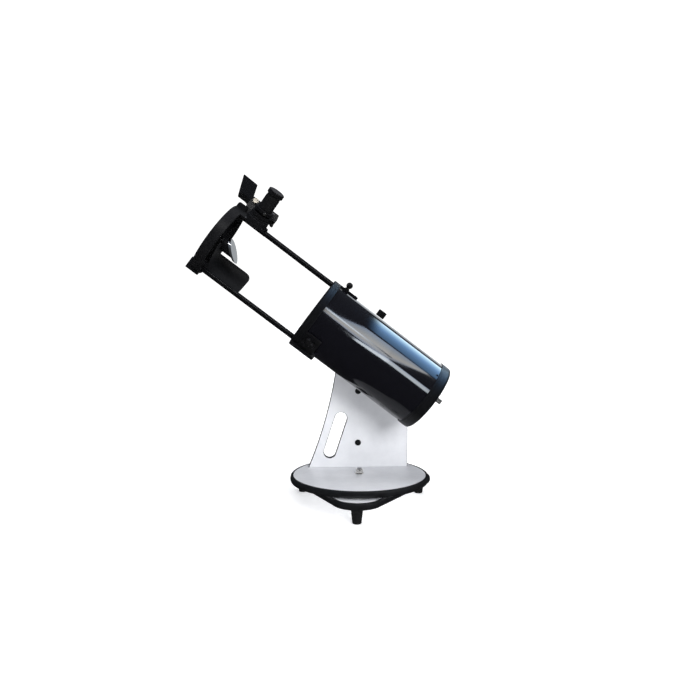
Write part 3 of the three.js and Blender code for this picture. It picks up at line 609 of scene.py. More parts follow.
def piece(name, bm, place, body, material, *nodes, sharp=32, bevel=0.0):
    """Puts a mesh in the scene in metres, riding on its body and standing for the nodes.
    Edges that turn by more than sharp degrees are drawn sharp, and a bevel, in mm, softens them."""
    bm.transform(place)
    bmesh.ops.recalc_face_normals(bm, faces=bm.faces)
    for face in bm.faces:
        face.smooth = True
    for edge in bm.edges:
        if len(edge.link_faces) == 2 and edge.calc_face_angle(0) > math.radians(sharp):
            edge.smooth = False
    made = as_object(name, bm, material)
    if bevel:
        modifier = made.modifiers.new("bevel", "BEVEL")
        modifier.width = bevel * MM
        modifier.segments = 3
        modifier.limit_method = "ANGLE"
        modifier.angle_limit = math.radians(BEVEL_ANGLE)
    # the long faces keep true normals, and the small rounded edges take the turn
    modifier = made.modifiers.new("normals", "WEIGHTED_NORMAL")
    modifier.weight = 100
    modifier.keep_sharp = True
    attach(made, body)
    if nodes:
        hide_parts(*nodes)
    return made


def phillips(r, depth=0.9):
    """A small pan-head screw, its top at height 0, with a cross cut into it."""
    crown = [(r, -1.0), (r * 0.82, -0.35), (r * 0.45, -0.06), (0, 0)]
    head = revolve([(0, -2.4), (r, -2.4)] + crown, 32)
    slot, reach = r * 0.14, r * 0.6
    return solid("DIFFERENCE", head, box(-reach, reach, -slot, slot, -depth, 1),
                 box(-slot, slot, -reach, reach, -depth, 1))


def screws(name, r, body, material, spots):
    """Numbered screws, each at a frame whose Z points out of the face."""
    for i, place in enumerate(spots, 1):
        piece(f"{name}_{i}", phillips(r), place, body, material, sharp=30)


# ---------------------------------------------------------------- ground board, feet and pads


def ground_outline(corner_r, steps=24):
    points = []
    reach = GROUND_REACH - GROUND_CORNER_R
    for direction in THREE_WAYS:
        a = math.radians(direction)
        middle = reach * math.cos(a), reach * math.sin(a)
        points += arc(*middle, corner_r, direction - 60, direction + 60, steps)
    return points


def band_section(low, high, steps=12):
    """The rounded edge moulding's section as (outwards, height), its outermost point at 0.
    It laps a little over the board's faces, and its nose is a touch fuller than a half round."""
    low, high = low - BAND_LAP, high + BAND_LAP
    inside = -(EDGE_BAND - GAP)
    middle = (low + high) / 2
    half = (high - low) / 2
    points = [(inside, low), (-BAND_NOSE, low)]
    for i in range(1, steps):
        a = math.pi * (i / steps - 0.5)
        points.append((-BAND_NOSE + BAND_NOSE * math.cos(a) ** 0.8, middle + half * math.sin(a)))
    return points + [(-BAND_NOSE, high), (inside, high)]


def ground_band():
    section = band_section(FOOT_HEIGHT, GROUND_TOP)
    rims = [ground_outline(GROUND_CORNER_R + offset) for offset, _ in section]
    around = range(len(rims[0]))
    return loft([[(*rims[k][i], z) for k, (_, z) in enumerate(section)] for i in around], closed=True)


def foot():
    """A tapering rubber foot with a groove round it and a hollow in its sole."""
    groove, top = 24, FOOT_HEIGHT - GAP
    lean = (FOOT_TOP_R - FOOT_BOTTOM_R) / (FOOT_HEIGHT - 2)
    wall = FOOT_BOTTOM_R + lean * groove
    sole = [(0, 2.5), (4, 2.5), (5.4, 0.0), (FOOT_BOTTOM_R - 1.6, 0)]
    side = arc(FOOT_BOTTOM_R - 1.6, 1.6, 1.6, -90, -5, 4)
    side += [(wall - 0.1, groove), (wall - 0.9, groove + 0.5)]
    side += [(wall - 0.9, groove + 1.5), (wall + 0.1, groove + 2)]
    return revolve(sole + side + [(FOOT_TOP_R, FOOT_HEIGHT - 1.2), (FOOT_TOP_R - 0.8, top), (0, top)], 64)


def hexagon(across, low, high):
    """A nut blank with its corners turned off at both ends."""
    corner = across / 2 / math.cos(math.pi / 6)
    blank = prism(arc(0, 0, corner, 30, 330, 5), low, high)
    flat, wide = across / 2 - 0.2, corner + 0.4
    cone = [(0, low), (flat, low), (wide, low + 2.2), (wide, high - 2.2), (flat, high), (0, high)]
    return solid("INTERSECT", blank, revolve(cone, 64))


def threaded(r, low, high, pitch=1.5):
    """A bolt end whose thread is a stack of fine ridges."""
    profile = [(0, low)]
    z = low
    while z < high - pitch:
        root = r - 0.62 * pitch
        profile += [(r, z), (r, z + pitch * 0.15), (root, z + pitch * 0.5), (r, z + pitch * 0.85)]
        z += pitch
    return revolve(profile + [(r, z), (r - 0.9, high), (0, high)], 48)


def round_hole(x, y, r):
    """A small hole's outline."""
    return arc(x, y, r, 0, 345, 23)


def make_ground():
    slab = prism(ground_outline(GROUND_CORNER_R - EDGE_BAND), FOOT_HEIGHT, GROUND_TOP,
                 [round_hole(0, 0, BOLT_R + GAP)])
    piece("Ground_Board", slab, GROUND, "ground", MELAMINE, "ground_board", bevel=0.25)
    piece("Ground_Edge_Band", ground_band(), GROUND, "ground", EDGING, "ground_edge_band", sharp=50)
    for i, direction in enumerate(THREE_WAYS, 1):
        a = math.radians(direction)
        place = GROUND @ shift(FOOT_CIRCLE_R * math.cos(a), FOOT_CIRCLE_R * math.sin(a), 0)
        piece(f"Foot_{i}", foot(), place, "ground", FOOT, f"foot_{i}")
        pad = prism(rounded(rectangle(139, 153, 13), 3), GROUND_TOP + GAP, ROUND_LOW - GAP)
        place = GROUND @ turn("Z", direction)
        piece(f"Slide_Pad_{i}", pad, place, "ground", WHITE, f"slide_pad_{i}", bevel=0.5)
    shaft = threaded(BOLT_R, FOOT_HEIGHT - GAP, ROUND_TOP + 14.3)
    head = moved(hexagon(16.5, 0, 6), shift(0, 0, FOOT_HEIGHT - 6.4))
    piece("Azimuth_Bolt", fused(shaft, head), BASE, "ground", STEEL, "azimuth_bolt", sharp=25)


# ---------------------------------------------------------------- turning board and arm


def arm_outline(inset, steps=40):
    """The arm as (x, z), from the bottom right corner round the top to the bottom left."""
    bottom = ROUND_TOP + GAP
    distance = math.hypot(ARM_CURVE_X, ARM_CURVE_Z - PIVOT_Z)
    curve_r = distance - ARM_TOP_R + inset
    towards = math.atan2(PIVOT_Z - ARM_CURVE_Z, -ARM_CURVE_X)
    start = math.asin((bottom - ARM_CURVE_Z) / curve_r)
    slope = math.acos(ARM_TOP_R / math.hypot(ARM_SLOPE_Z, ARM_RIGHT_X))
    slope -= math.atan2(ARM_SLOPE_Z, ARM_RIGHT_X)
    right = ARM_RIGHT_X - inset
    corner = PIVOT_Z + (ARM_TOP_R - inset - right * math.cos(slope)) / math.sin(slope)
    slope, towards, start = (math.degrees(angle) for angle in (slope, towards, start))
    points = [(right, bottom), (right, corner)]
    points += arc(0, PIVOT_Z, ARM_TOP_R - inset, slope, towards + 180, steps)
    points += arc(ARM_CURVE_X, ARM_CURVE_Z, curve_r, towards, start, steps)[1:]
    return points


def slot_outline(r, steps=20):
    lean = math.degrees(math.atan2(SLOT_TOP[1] - SLOT_BOTTOM[1], SLOT_TOP[0] - SLOT_BOTTOM[0]))
    upper = arc(*SLOT_TOP, r, lean - 90, lean + 90, steps)
    return upper + arc(*SLOT_BOTTOM, r, lean + 90, lean + 270, steps)


def upright(outline, front_y, thickness, holes=()):
    """An (x, z) outline as an upright board from front_y backwards."""
    return moved(prism(outline, -front_y - thickness, -front_y, holes), UPRIGHT)


def edge_strip(outline, thickness, crown, closed=False, steps=6):
    """A thin strip of edging laid inwards from an (x, z) outline, slightly crowned across its depth."""
    last = len(outline) - 1
    sections = []
    for i, point in enumerate(outline):
        before = Vector(outline[i - 1] if closed or i else point)
        after = Vector(outline[(i + 1) % len(outline)] if closed or i < last else point)
        along = (after - before).normalized()
        out = Vector((along.y, -along.x))
        path = [(k / steps, -crown * (2 * k / steps - 1) ** 4) for k in range(steps + 1)]
        section = []
        for u, stand in path + [(1, -thickness), (0, -thickness)]:
            spot = Vector(point) + out * stand
            section.append((spot.x, ARM_FRONT_Y + BOARD * u, spot.y))
        sections.append(section)
    return loft(sections, closed)


def screw_cap():
    dome = [(7.5, 0.3), (7.5, 1.1)] + arc(5.7, 1.1, 1.8, 20, 90, 4) + [(2.4, 2.75), (0, 2.9)]
    return revolve([(0, -8), (3.6, -8), (3.6, 0.3)] + dome, 48)


def brace_outline(back, low, steps=24):
    """The brace as (y, z): a foot, a long hollow curve up its rear edge, and a blunt top."""
    points = [(back, low), (back + BRACE_DEPTH, low), (back + BRACE_DEPTH, low + 14)]
    start, bend = Vector(points[-1]), Vector((back + 24, low + 90))
    end = Vector((back + 18, BRACE_TOP_Z - 8))
    points += [tuple(between(start, bend, end, i / steps)) for i in range(1, steps + 1)]
    return points + [(back + 10, BRACE_TOP_Z), (back, BRACE_TOP_Z)]


def brace_trim(strip, half):
    """Edging along the brace's rear edge, a little narrower than the board."""
    sections = []
    for i, point in enumerate(strip):
        after, before = strip[min(i + 1, len(strip) - 1)], strip[max(i - 1, 0)]
        along = (Vector(after) - Vector(before)).normalized()
        out = Vector((along.y, -along.x))
        face, inner = (Vector(point) + out * depth for depth in (0.02, -0.9))
        corners = (face, -half), (face, half), (inner, half), (inner, -half)
        sections.append([(CAP_X + x, *spot) for spot, x in corners])
    return loft(sections)


def make_arm():
    def fixed(name, bm, material, *nodes, **look):
        piece(name, bm, BASE, "rocker", material, *nodes, **look)

    fixed("Round_Board", revolve(softened(BOLT_R + GAP, ROUND_BOARD_R, ROUND_LOW, ROUND_TOP, 0.3), 160),
          MELAMINE, "round_board")
    band = [(ROUND_BOARD_R + EDGE_BAND + offset, z) for offset, z in band_section(ROUND_LOW, ROUND_TOP)]
    fixed("Round_Edge_Band", revolve(band + band[:1], 160), EDGING, "round_edge_band", sharp=50)

    holes = [slot_outline(SLOT_R + SLOT_LINING), round_hole(0, PIVOT_Z, BOLT_R + GAP)]
    holes += [round_hole(CAP_X, z, 4) for z in CAP_HEIGHTS]
    arm = upright(arm_outline(ARM_EDGING + 0.1), ARM_FRONT_Y, BOARD, holes)
    fixed("Side_Arm", arm, MELAMINE, "side_arm", bevel=0.3)
    fixed("Arm_Edging", edge_strip(arm_outline(0), ARM_EDGING, 0.5), EDGING, "arm_edging", sharp=50)
    lining = edge_strip(slot_outline(SLOT_R)[::-1], SLOT_LINING - 0.1, 0.3, closed=True)
    fixed("Slot_Lining", lining, EDGING, sharp=50)

    brace = brace_outline(ARM_FRONT_Y + BOARD + GAP, ROUND_TOP + GAP)
    stand = shift(CAP_X - BOARD / 2, 0, 0) @ axes((0, 1, 0), (0, 0, 1), (1, 0, 0))
    fixed("Arm_Brace", moved(prism(brace, 0, BOARD), stand), MELAMINE, "arm_brace", bevel=0.4)
    fixed("Brace_Edging", brace_trim(brace[2:-1], BOARD / 2 * 0.985), EDGING, sharp=50)
    for name, z in zip(("Lower", "Upper"), CAP_HEIGHTS):
        place = BASE @ shift(CAP_X, ARM_FRONT_Y, z) @ UPRIGHT
        piece(f"Screw_Cap_{name}", screw_cap(), place, "rocker", KNOB, f"screw_cap_{name.lower()}")

    washer = revolve(softened(BOLT_R + GAP, 10.5, ROUND_TOP + GAP, ROUND_TOP + 1.9, 0.4), 64)
    fixed("Azimuth_Washer", washer, CHROME, "azimuth_washer")
    low = ROUND_TOP + 2.2
    bore = rod(BOLT_R + GAP, low - 2, low + 14)
    collar = revolve([(0, low + 7), (7.8, low + 7), (7.8, low + 9.2), (7.0, low + 10), (0, low + 10)], 48)
    nut = solid("DIFFERENCE", solid("UNION", hexagon(17, low, low + 8), collar), bore)
    piece("Azimuth_Nut", nut, BASE, "tension_nut", CHROME, "azimuth_nut", sharp=25, bevel=0.15)


# ---------------------------------------------------------------- saddle and altitude axis
ALONG_Y = TUBE @ turn("X", -90)
CLAMP_LINE = shift(0, BAR_FACE - 6, 0) @ OUT


def make_saddle():
    half, lip = 33, BAR_FACE - 11.5
    right = [(22.6, BAR_FACE + GAP), (18.4, lip), (half, lip), (half, SADDLE_BACK)]
    jaw = rounded([(-x, y) for x, y in reversed(right)] + right, [5, 2, 0.6, 0.6, 0.6, 0.6, 2, 5])
    body = prism(jaw, -SADDLE_LENGTH / 2, SADDLE_LENGTH / 2)
    hole = moved(rod(BOLT_R + GAP, 80, 120), turn("X", -90))
    seat = moved(rod(9.4, 80, BAR_FACE + 5), turn("X", -90))
    way = moved(rod(3.4, 0, 45), CLAMP_LINE)
    saddle = solid("DIFFERENCE", body, hole, seat, way)
    piece("Saddle", saddle, TUBE, "tube", BLACK, "saddle", bevel=0.4)

    head = BAR_FACE + 0.8
    bolt = fused(rod(9, head, head + 3.9, 48), threaded(BOLT_R, head + 3.5, ARM_FRONT + BOARD + 20))
    piece("Altitude_Bolt", bolt, ALONG_Y, "tube", STEEL, "altitude_bolt", sharp=25)
    washer = revolve(softened(BOLT_R + GAP, 28, SADDLE_BACK + GAP, ARM_FRONT - GAP, 0.4), 96)
    piece("Friction_Washer", washer, ALONG_Y, "tube", WHITE, "friction_washer")

    low = ARM_FRONT + BOARD + GAP
    lobes = knob(wave_outline(24.8, 5.6, 6, 12), low + 5.5, low + 22, 2.6, 6)
    grip = solid("UNION", lobes, rod(14, low, low + 7, 64))
    dish = rod(11, low + 21.2, low + 30, 64, 0.1)
    grip = solid("DIFFERENCE", grip, rod(BOLT_R + GAP, low - 2, low + 20.5), dish)
    piece("Altitude_Knob", grip, ALONG_Y, "altitude_knob", KNOB, "altitude_knob", sharp=40)

    grip = knob(wave_outline(10.9, 1.1, 18, 6), 79, 101, 1.6)
    grip = solid("DIFFERENCE", grip, rod(6.6, 99.6, 110, 48, 0.1))
    clamp = fused(grip, rod(2.9, 22.3, 80))
    piece("Saddle_Clamp_Knob", clamp, TUBE @ CLAMP_LINE, "saddle_knob", KNOB, "saddle_clamp_knob", sharp=40)

    edge = BAR_LENGTH / 2
    right = [(17.8, 78), (17.8, BAR_FACE - 12), (22, BAR_FACE)]
    bar = prism([(-x, y) for x, y in reversed(right)] + right, -edge, edge)
    bar = solid("DIFFERENCE", bar, rod(TUBE_R + GAP, -edge - 9, edge + 9, 192))
    piece("Dovetail_Bar", bar, TUBE, "tube", ROD, "dovetail_bar", bevel=0.4)


# ---------------------------------------------------------------- main tube, its ring and its cell


def on_tube(name, bm, material, *nodes, **look):
    piece(name, bm, TUBE, "tube", material, *nodes, **look)


def make_tube():
    """The rolled steel tube, matt inside and with a hole for the upper clamp's screw."""
    inside, low, high = TUBE_R - 1, TUBE_REAR, TUBE_FRONT
    skin = revolve([(inside, low), (TUBE_R - 0.1, low), (TUBE_R, low + 0.2), (TUBE_R, high - 0.3),
                    (TUBE_R - 0.2, high), (inside, high), (inside, low)], 192)
    way = cross_hole(3.6, 70, 95, shift(0, 0, CLAMP_T))
    shell = piece("Main_Tube", solid("DIFFERENCE", skin, way), TUBE, "tube", PAINT, "main_tube", sharp=40)
    shell.data.materials.append(FLOCK)
    for face in shell.data.polygons:
        offset = face.center - TUBE.translation
        radial = offset - sky * offset.dot(sky)
        if radial.length < (TUBE_R - 0.6) * MM:
            face.material_index = 1


def make_front_ring():
    """The plastic ring on the tube's mouth, with a groove round it and a way through for each rod."""
    seat, stop, bend = TUBE_R + GAP, TUBE_FRONT + GAP, 2.2
    groove = [(RING_R, 126.6), (RING_R - 0.5, 127.0), (RING_R - 0.5, 127.6), (RING_R, 128.0)]
    profile = [(seat, RING_REAR), (RING_R - 0.8, RING_REAR), (RING_R, RING_REAR + 0.8)] + groove
    profile += [(RING_R, RING_FRONT - bend)] + arc(RING_R - bend, RING_FRONT - bend, bend, 20, 90, 5)
    profile += [(RING_BORE_R + 0.8, RING_FRONT), (RING_BORE_R, RING_FRONT - 0.8), (RING_BORE_R, stop),
                (seat, stop), (seat, RING_REAR)]
    ways = [moved(rod(ROD_R + 0.5, 125, 145, 48), shift(x, 0, 0)) for x in (ROD_RADIUS, -ROD_RADIUS)]
    on_tube("Front_Ring", solid("DIFFERENCE", revolve(profile, 192), *ways), SATIN, "front_ring", sharp=35)


def make_cell():
    """The dished cap that closes the tube's rear end and carries the mirror."""
    bend, groove = 7, CELL_FRONT - 4.3
    seat, stop, inside = TUBE_R + GAP, TUBE_REAR - GAP, CELL_REAR + 6
    profile = [(0, CELL_REAR + 1.2), (24, CELL_REAR + 1.2), (26, CELL_REAR)]
    profile += arc(CELL_R - bend, CELL_REAR + bend, bend, -90, 0, 8)
    profile += [(CELL_R, groove - 0.7), (CELL_R - 0.5, groove - 0.3), (CELL_R - 0.5, groove + 0.3),
                (CELL_R, groove + 0.7), (CELL_R, CELL_FRONT - 0.6), (CELL_R - 0.6, CELL_FRONT)]
    profile += [(seat, CELL_FRONT), (seat, stop), (TUBE_R - 3, stop), (TUBE_R - 3, inside), (0, inside)]
    holes = [moved(rod(2.9, CELL_REAR - 2, CELL_REAR + 8, 24), turn("Z", a) @ shift(SCREW_CIRCLE_R, 0, 0))
             for a in COLLIMATION_ANGLES]
    on_tube("Rear_Cell", solid("DIFFERENCE", revolve(profile, 192), *holes), SATIN, "rear_cell", sharp=35)
    screws("Cell_Screw", 2.4, "tube", GLOSSY,
           [outward(-48.5 + 120 * i, CELL_FRONT + 3.6) @ shift(0, 0, TUBE_R + 1.3) for i in range(3)])


def make_mirror(steps=24):
    """The primary mirror, hollowed to its curve, in its support, with clips and screws to aim it."""
    back, edge = MIRROR_FRONT - MIRROR_EDGE, MIRROR_R - 0.8

    def sag(r):
        return MIRROR_FRONT - (MIRROR_R ** 2 - r * r) / (2 * MIRROR_CURVE_R)

    rim = [(0, back), (edge, back), (MIRROR_R, back + 0.8), (MIRROR_R, MIRROR_FRONT - 0.9)]
    radii = [edge * i / steps for i in range(steps, -1, -1)]
    glass = revolve(rim + [(r, sag(r)) for r in radii], 128)
    on_tube("Primary_Mirror", glass, MIRROR, "primary_mirror", sharp=25)
    low, high = sag(0) + 0.02, sag(0) + 0.12
    spot = revolve([(2.2, low), (4.4, low), (4.4, high), (2.2, high), (2.2, low)], 48)
    on_tube("Mirror_Centre_Spot", spot, FLOCK)

    back -= GAP
    support_back, lip = back - 4, MIRROR_FRONT + 1
    inner = MIRROR_R + GAP
    wall = inner + 2.5
    tray = [(0, support_back), (inner + 2, support_back), (wall, back - 3.5), (wall, MIRROR_FRONT + 0.6),
            (inner + 2.1, lip), (inner, lip), (inner, back), (0, back)]
    on_tube("Mirror_Support", revolve(tray, 128), BLACK, "mirror_support", sharp=35)
    for i in range(3):
        clip = rounded(rectangle(MIRROR_R - 3.5, inner + 2.4, 6), 1.5)
        clip = prism(clip, MIRROR_FRONT + 1.1, MIRROR_FRONT + 2.6)
        screw = moved(phillips(2.2), shift(inner + 0.2, 0, MIRROR_FRONT + 4.4))
        place = TUBE @ turn("Z", 30 + 120 * i)
        piece(f"Mirror_Clip_{i + 1}", fused(clip, screw), place, "tube", BLACK, sharp=35)
    for i, angle in enumerate(COLLIMATION_ANGLES, 1):
        make_collimation(i, TUBE @ turn("Z", angle) @ shift(SCREW_CIRCLE_R, 0, 0), support_back)


def spring(r, wire, turns, start, end, steps=112, sides=10):
    """A coil of round wire about Z."""
    rise = Vector((0, 0, 1))
    sections = []
    for k in range(steps + 1):
        u = k / steps
        a = 2 * math.pi * turns * u
        middle = Vector((r * math.cos(a), r * math.sin(a), start + (end - start) * u))
        out = Vector((math.cos(a), math.sin(a), 0))
        around = (2 * math.pi * n / sides for n in range(sides))
        sections.append([tuple(middle + wire * (out * math.cos(b) + rise * math.sin(b))) for b in around])
    return loft(sections)


def make_collimation(i, place, support_back):
    """A knurled screw through the cell into the mirror's support, and the spring round it."""
    low, head = CELL_REAR - 17, CELL_REAR - 2.3
    grip = knob(wave_outline(5.6, 0.5, 20, 4), low, head, 0.8, 3)
    grip = solid("DIFFERENCE", grip, box(-6, 6, -0.6, 0.6, low - 1, low + 1.3))
    screw = fused(grip, threaded(2.6, head - 0.2, support_back - GAP, 0.8))
    name = f"collimation_screw_{i}"
    piece(f"Collimation_Screw_{i}", screw, place, name, CHROME, name, sharp=30)
    coil = spring(4.6, 0.7, 3.5, CELL_REAR + 7.2, support_back - 1.2)
    piece(f"Collimation_Spring_{i}", coil, place, "tube", STEEL, f"collimation_spring_{i}", sharp=60)


# ---------------------------------------------------------------- rod clamps and their knobs


def arc_plate(inner, outer, start, end, low, high, steps=32):
    outline = arc(0, 0, outer, start, end, steps) + arc(0, 0, inner, end, start, steps)
    return prism(outline, low, high)


def make_upper_clamp():
    """A small saddle plate on the front ring, its ball knob standing straight out from the rod."""
    high, boss_at = RING_REAR - GAP, shift(0, 0, CLAMP_T)
    plate = arc_plate(TUBE_R + GAP, RING_R, -9, 9, CLAMP_REAR, high, 16)
    round_end = prism(rounded(rectangle(CLAMP_REAR, high, 13.6), [6, 1, 1, 6], 6), 70, 95)
    plate = solid("INTERSECT", plate, moved(round_end, LAID))
    body = solid("UNION", plate, cross_hole(6, TUBE_R + 2, RING_R + 2, boss_at))
    body = solid("DIFFERENCE", body, cross_hole(3.4, 70, 100, boss_at, segments=32))
    on_tube("Rod_Clamp_Upper", body, BLACK, "rod_clamp_upper", bevel=0.5)
    lean = math.degrees(math.atan2(8, TUBE_R))
    screws("Upper_Clamp_Screw", 2.4, "tube", STEEL,
           [outward(angle, CLAMP_REAR + 7) @ shift(0, 0, RING_R + 0.9) for angle in (-lean, lean)])

    middle, r = 97, 7.6
    ball = [(0, middle - r), (4.2, middle - 7.2)] + arc(0, middle, r, -52, 62, 14)
    ball = revolve(ball + [(3.0, middle + 7.1), (0, middle + 6.7)], 64)
    neck = revolve([(0, 88), (4.4, 88), (4.0, 91), (0, 91)], 48)
    stem = threaded(2.9, ROD_RADIUS + ROD_R + GAP, middle - 6, 1.0)
    piece("Clamp_Knob_Upper", fused(ball, neck, stem), outward(0, CLAMP_T), "upper_rod_knob", KNOB,
          "clamp_knob_upper", sharp=40)


def make_lower_clamp():
    """A stepped block wrapped round the tube under the lower rod, with a three-lobed knob below it."""
    outer, high = LOWER_CLAMP_R, RING_REAR - GAP
    rear = arc_plate(TUBE_R + GAP, outer, 170, 206, CLAMP_REAR, high)
    front = arc_plate(RING_R + GAP, outer, 170, 204, RING_REAR - 8, RING_FRONT - 1)
    reach = arc_plate(TUBE_R + GAP, outer - 3.5, 200, 240, CLAMP_REAR + 8, high)
    boss_at = turn("Z", LOWER_KNOB_ANGLE) @ shift(0, 0, CLAMP_T - 2)
    boss = cross_hole(9, TUBE_R + 3, outer - 1.5, boss_at, segments=64)
    slant = shift(-outer - 6, 0, CLAMP_REAR - 5) @ turn("Y", 45)
    chamfer = moved(box(-12, 12, -40, 40, -9, 9), slant)
    way = cross_hole(3.4, 70, 100, boss_at, segments=32)
    body = solid("DIFFERENCE", solid("UNION", rear, front, reach, boss), chamfer, way)
    on_tube("Rod_Clamp_Lower", body, BLACK, "rod_clamp_lower", bevel=0.6)
    spots = [(angle, t) for t in (CLAMP_REAR + 16, RING_FRONT - 8) for angle in (176, 196)]
    screws("Lower_Clamp_Screw", 2.4, "tube", STEEL,
           [outward(angle, t) @ shift(0, 0, outer + 0.7) for angle, t in spots])

    low = 91.1
    star = knob(wave_outline(14, 7, 3, 20, 0.9), low, low + 10, 2.4, 6)
    cap = revolve([(0, low + 9), (4.2, low + 9), (4.2, low + 10.2), (3.4, low + 10.9), (0, low + 11)], 48)
    grip = fused(star, cap, rod(2.9, TUBE_R + 1, low + 1))
    piece("Clamp_Knob_Lower", grip, outward(LOWER_KNOB_ANGLE, CLAMP_T - 2), "lower_rod_knob", KNOB,
          "clamp_knob_lower", sharp=40)


# ---------------------------------------------------------------- rods, front cage, shield and secondary


def lug_outline(outer, half=12):
    return rounded(rectangle(ROD_RADIUS - ROD_R - 3, outer, half), [4, 5, 5, 4], 6)


def cage_bridge():
    """The plate behind the cage ring that carries the focuser's seat and the finder's shoe."""
    plate = arc_plate(TUBE_R + 0.6, RING_R, -31, 34, BRIDGE_REAR, CAGE_REAR + 2, 40)
    front, corner = CAGE_REAR + 3, 10
    plan = [(BRIDGE_REAR, -50), (front, -50), (front, 52), (BRIDGE_REAR, 52)]
    keep = prism(rounded(plan, [corner, 0.5, 0.5, corner]), 60, 95)
    plate = solid("INTERSECT", plate, moved(keep, LAID))
    low, top, r = TUBE_R - 8, FOCUS_BODY_TOP, FOCUS_BODY_R
    waist = r - 1.6
    flange = [(0, low), (r, low), (r, top - 6), (r - 0.5, top - 5), (waist, top - 4.4), (waist, top - 0.6),
              (r - 2.2, top), (0, top)]
    seat = moved(revolve(flange, 96), FOCUS_AT @ OUT)
    shoe = side_plate(rounded([(350, TUBE_R - 2), (402, TUBE_R - 2), (402, 100), (350, 100)], 1.2),
                      FINDER_WIDTH - 2)
    shoe = moved(solid("DIFFERENCE", shoe, box(93, 106, -9, 9, 340, 410)), turn("Z", FINDER_ANGLE))
    inside = rod(TUBE_R + 0.6, BRIDGE_REAR - 20, CAGE_REAR + 0.01, 192)
    return solid("DIFFERENCE", solid("UNION", plate, seat, shoe), inside)


def cage_ring():
    low, high = CAGE_REAR, CAGE_FRONT
    start = (CAGE_BORE_R, low + 0.5)
    outside = [(RING_R - 0.8, low), (RING_R, low + 0.8), (RING_R, high - 1.4), (RING_R - 1.4, high)]
    inside = [(CAGE_BORE_R + 0.8, high), (CAGE_BORE_R, high - 0.8), start]
    return revolve([start, (CAGE_BORE_R + 0.5, low)] + outside + inside, 192)


def make_cage():
    for name, x in (("Upper", ROD_RADIUS), ("Lower", -ROD_RADIUS)):
        bar = rod(ROD_R, ROD_REAR, ROD_FRONT, 64, 0.8)
        piece(f"Truss_Rod_{name}", bar, TUBE @ shift(x, 0, 0), "cage", ROD, f"truss_rod_{name.lower()}")

    low, high, root = CAGE_REAR + 0.5, CAGE_FRONT - 0.5, ROD_RADIUS - 9
    hump = rounded([(low, root), (high, root), (high, UPPER_LUG_R), (low, UPPER_LUG_R)], [1, 1, 6.5, 6.5], 8)
    lower_lug = moved(prism(lug_outline(LOWER_LUG_R), LUG_REAR, LUG_FRONT), turn("Z", 180))
    whole = solid("UNION", cage_ring(), cage_bridge(), side_plate(hump, 24), lower_lug)
    sockets = [moved(rod(ROD_R + GAP, CAGE_REAR - 5, ROD_FRONT + 0.5, 48), shift(x, 0, 0))
               for x in (ROD_RADIUS, -ROD_RADIUS)]
    way = moved(rod(2.9, 0, 30, 24), turn("Z", FINDER_ANGLE) @ FINDER_CLAMP_AT)
    light_way = cross_hole(FOCUS_BORE_R, 40, 130, FOCUS_AT, segments=96)
    whole = solid("DIFFERENCE", whole, light_way, *sockets, way)
    piece("Cage_Ring", whole, TUBE, "cage", BLACK, "cage_ring", sharp=35, bevel=0.45)
    spots = [(0, 405, UPPER_LUG_R), (180, 408, LOWER_LUG_R)]
    spots += [(-27, 380, RING_R), (-27, 338, RING_R), (29, 338, RING_R)]
    for i, (angle, t, r) in enumerate(spots, 1):
        metal = CHROME if angle == 180 else STEEL
        place = outward(angle, t) @ shift(0, 0, r + 0.8)
        piece(f"Cage_Screw_{i}", phillips(2.3), place, "cage", metal, sharp=30)


def make_shield(count=84, steps=16):
    """A thin curved sheet inside the ring, with the corners of its free edge rounded."""
    start, end = SHIELD_ARC
    front = CAGE_REAR + 5
    sections = []
    for i in range(count + 1):
        angle = start + (end - start) * i / count
        rear = SHIELD_REAR
        for corner, away in zip(SHIELD_CORNERS, (angle - start, end - angle)):
            gap = corner - math.radians(away) * SHIELD_R
            if gap > 0:
                rear = SHIELD_REAR + corner - math.sqrt(corner ** 2 - gap ** 2)
        a = math.radians(angle)
        heights = [rear + (front - rear) * k / steps for k in range(steps + 1)]
        faces = (SHIELD_R, heights), (SHIELD_R - 1, heights[::-1])
        sections.append([(r * math.cos(a), r * math.sin(a), z) for r, side in faces for z in side])
    piece("Light_Shield", loft(sections), TUBE, "cage", BLACK, "light_shield", sharp=50)


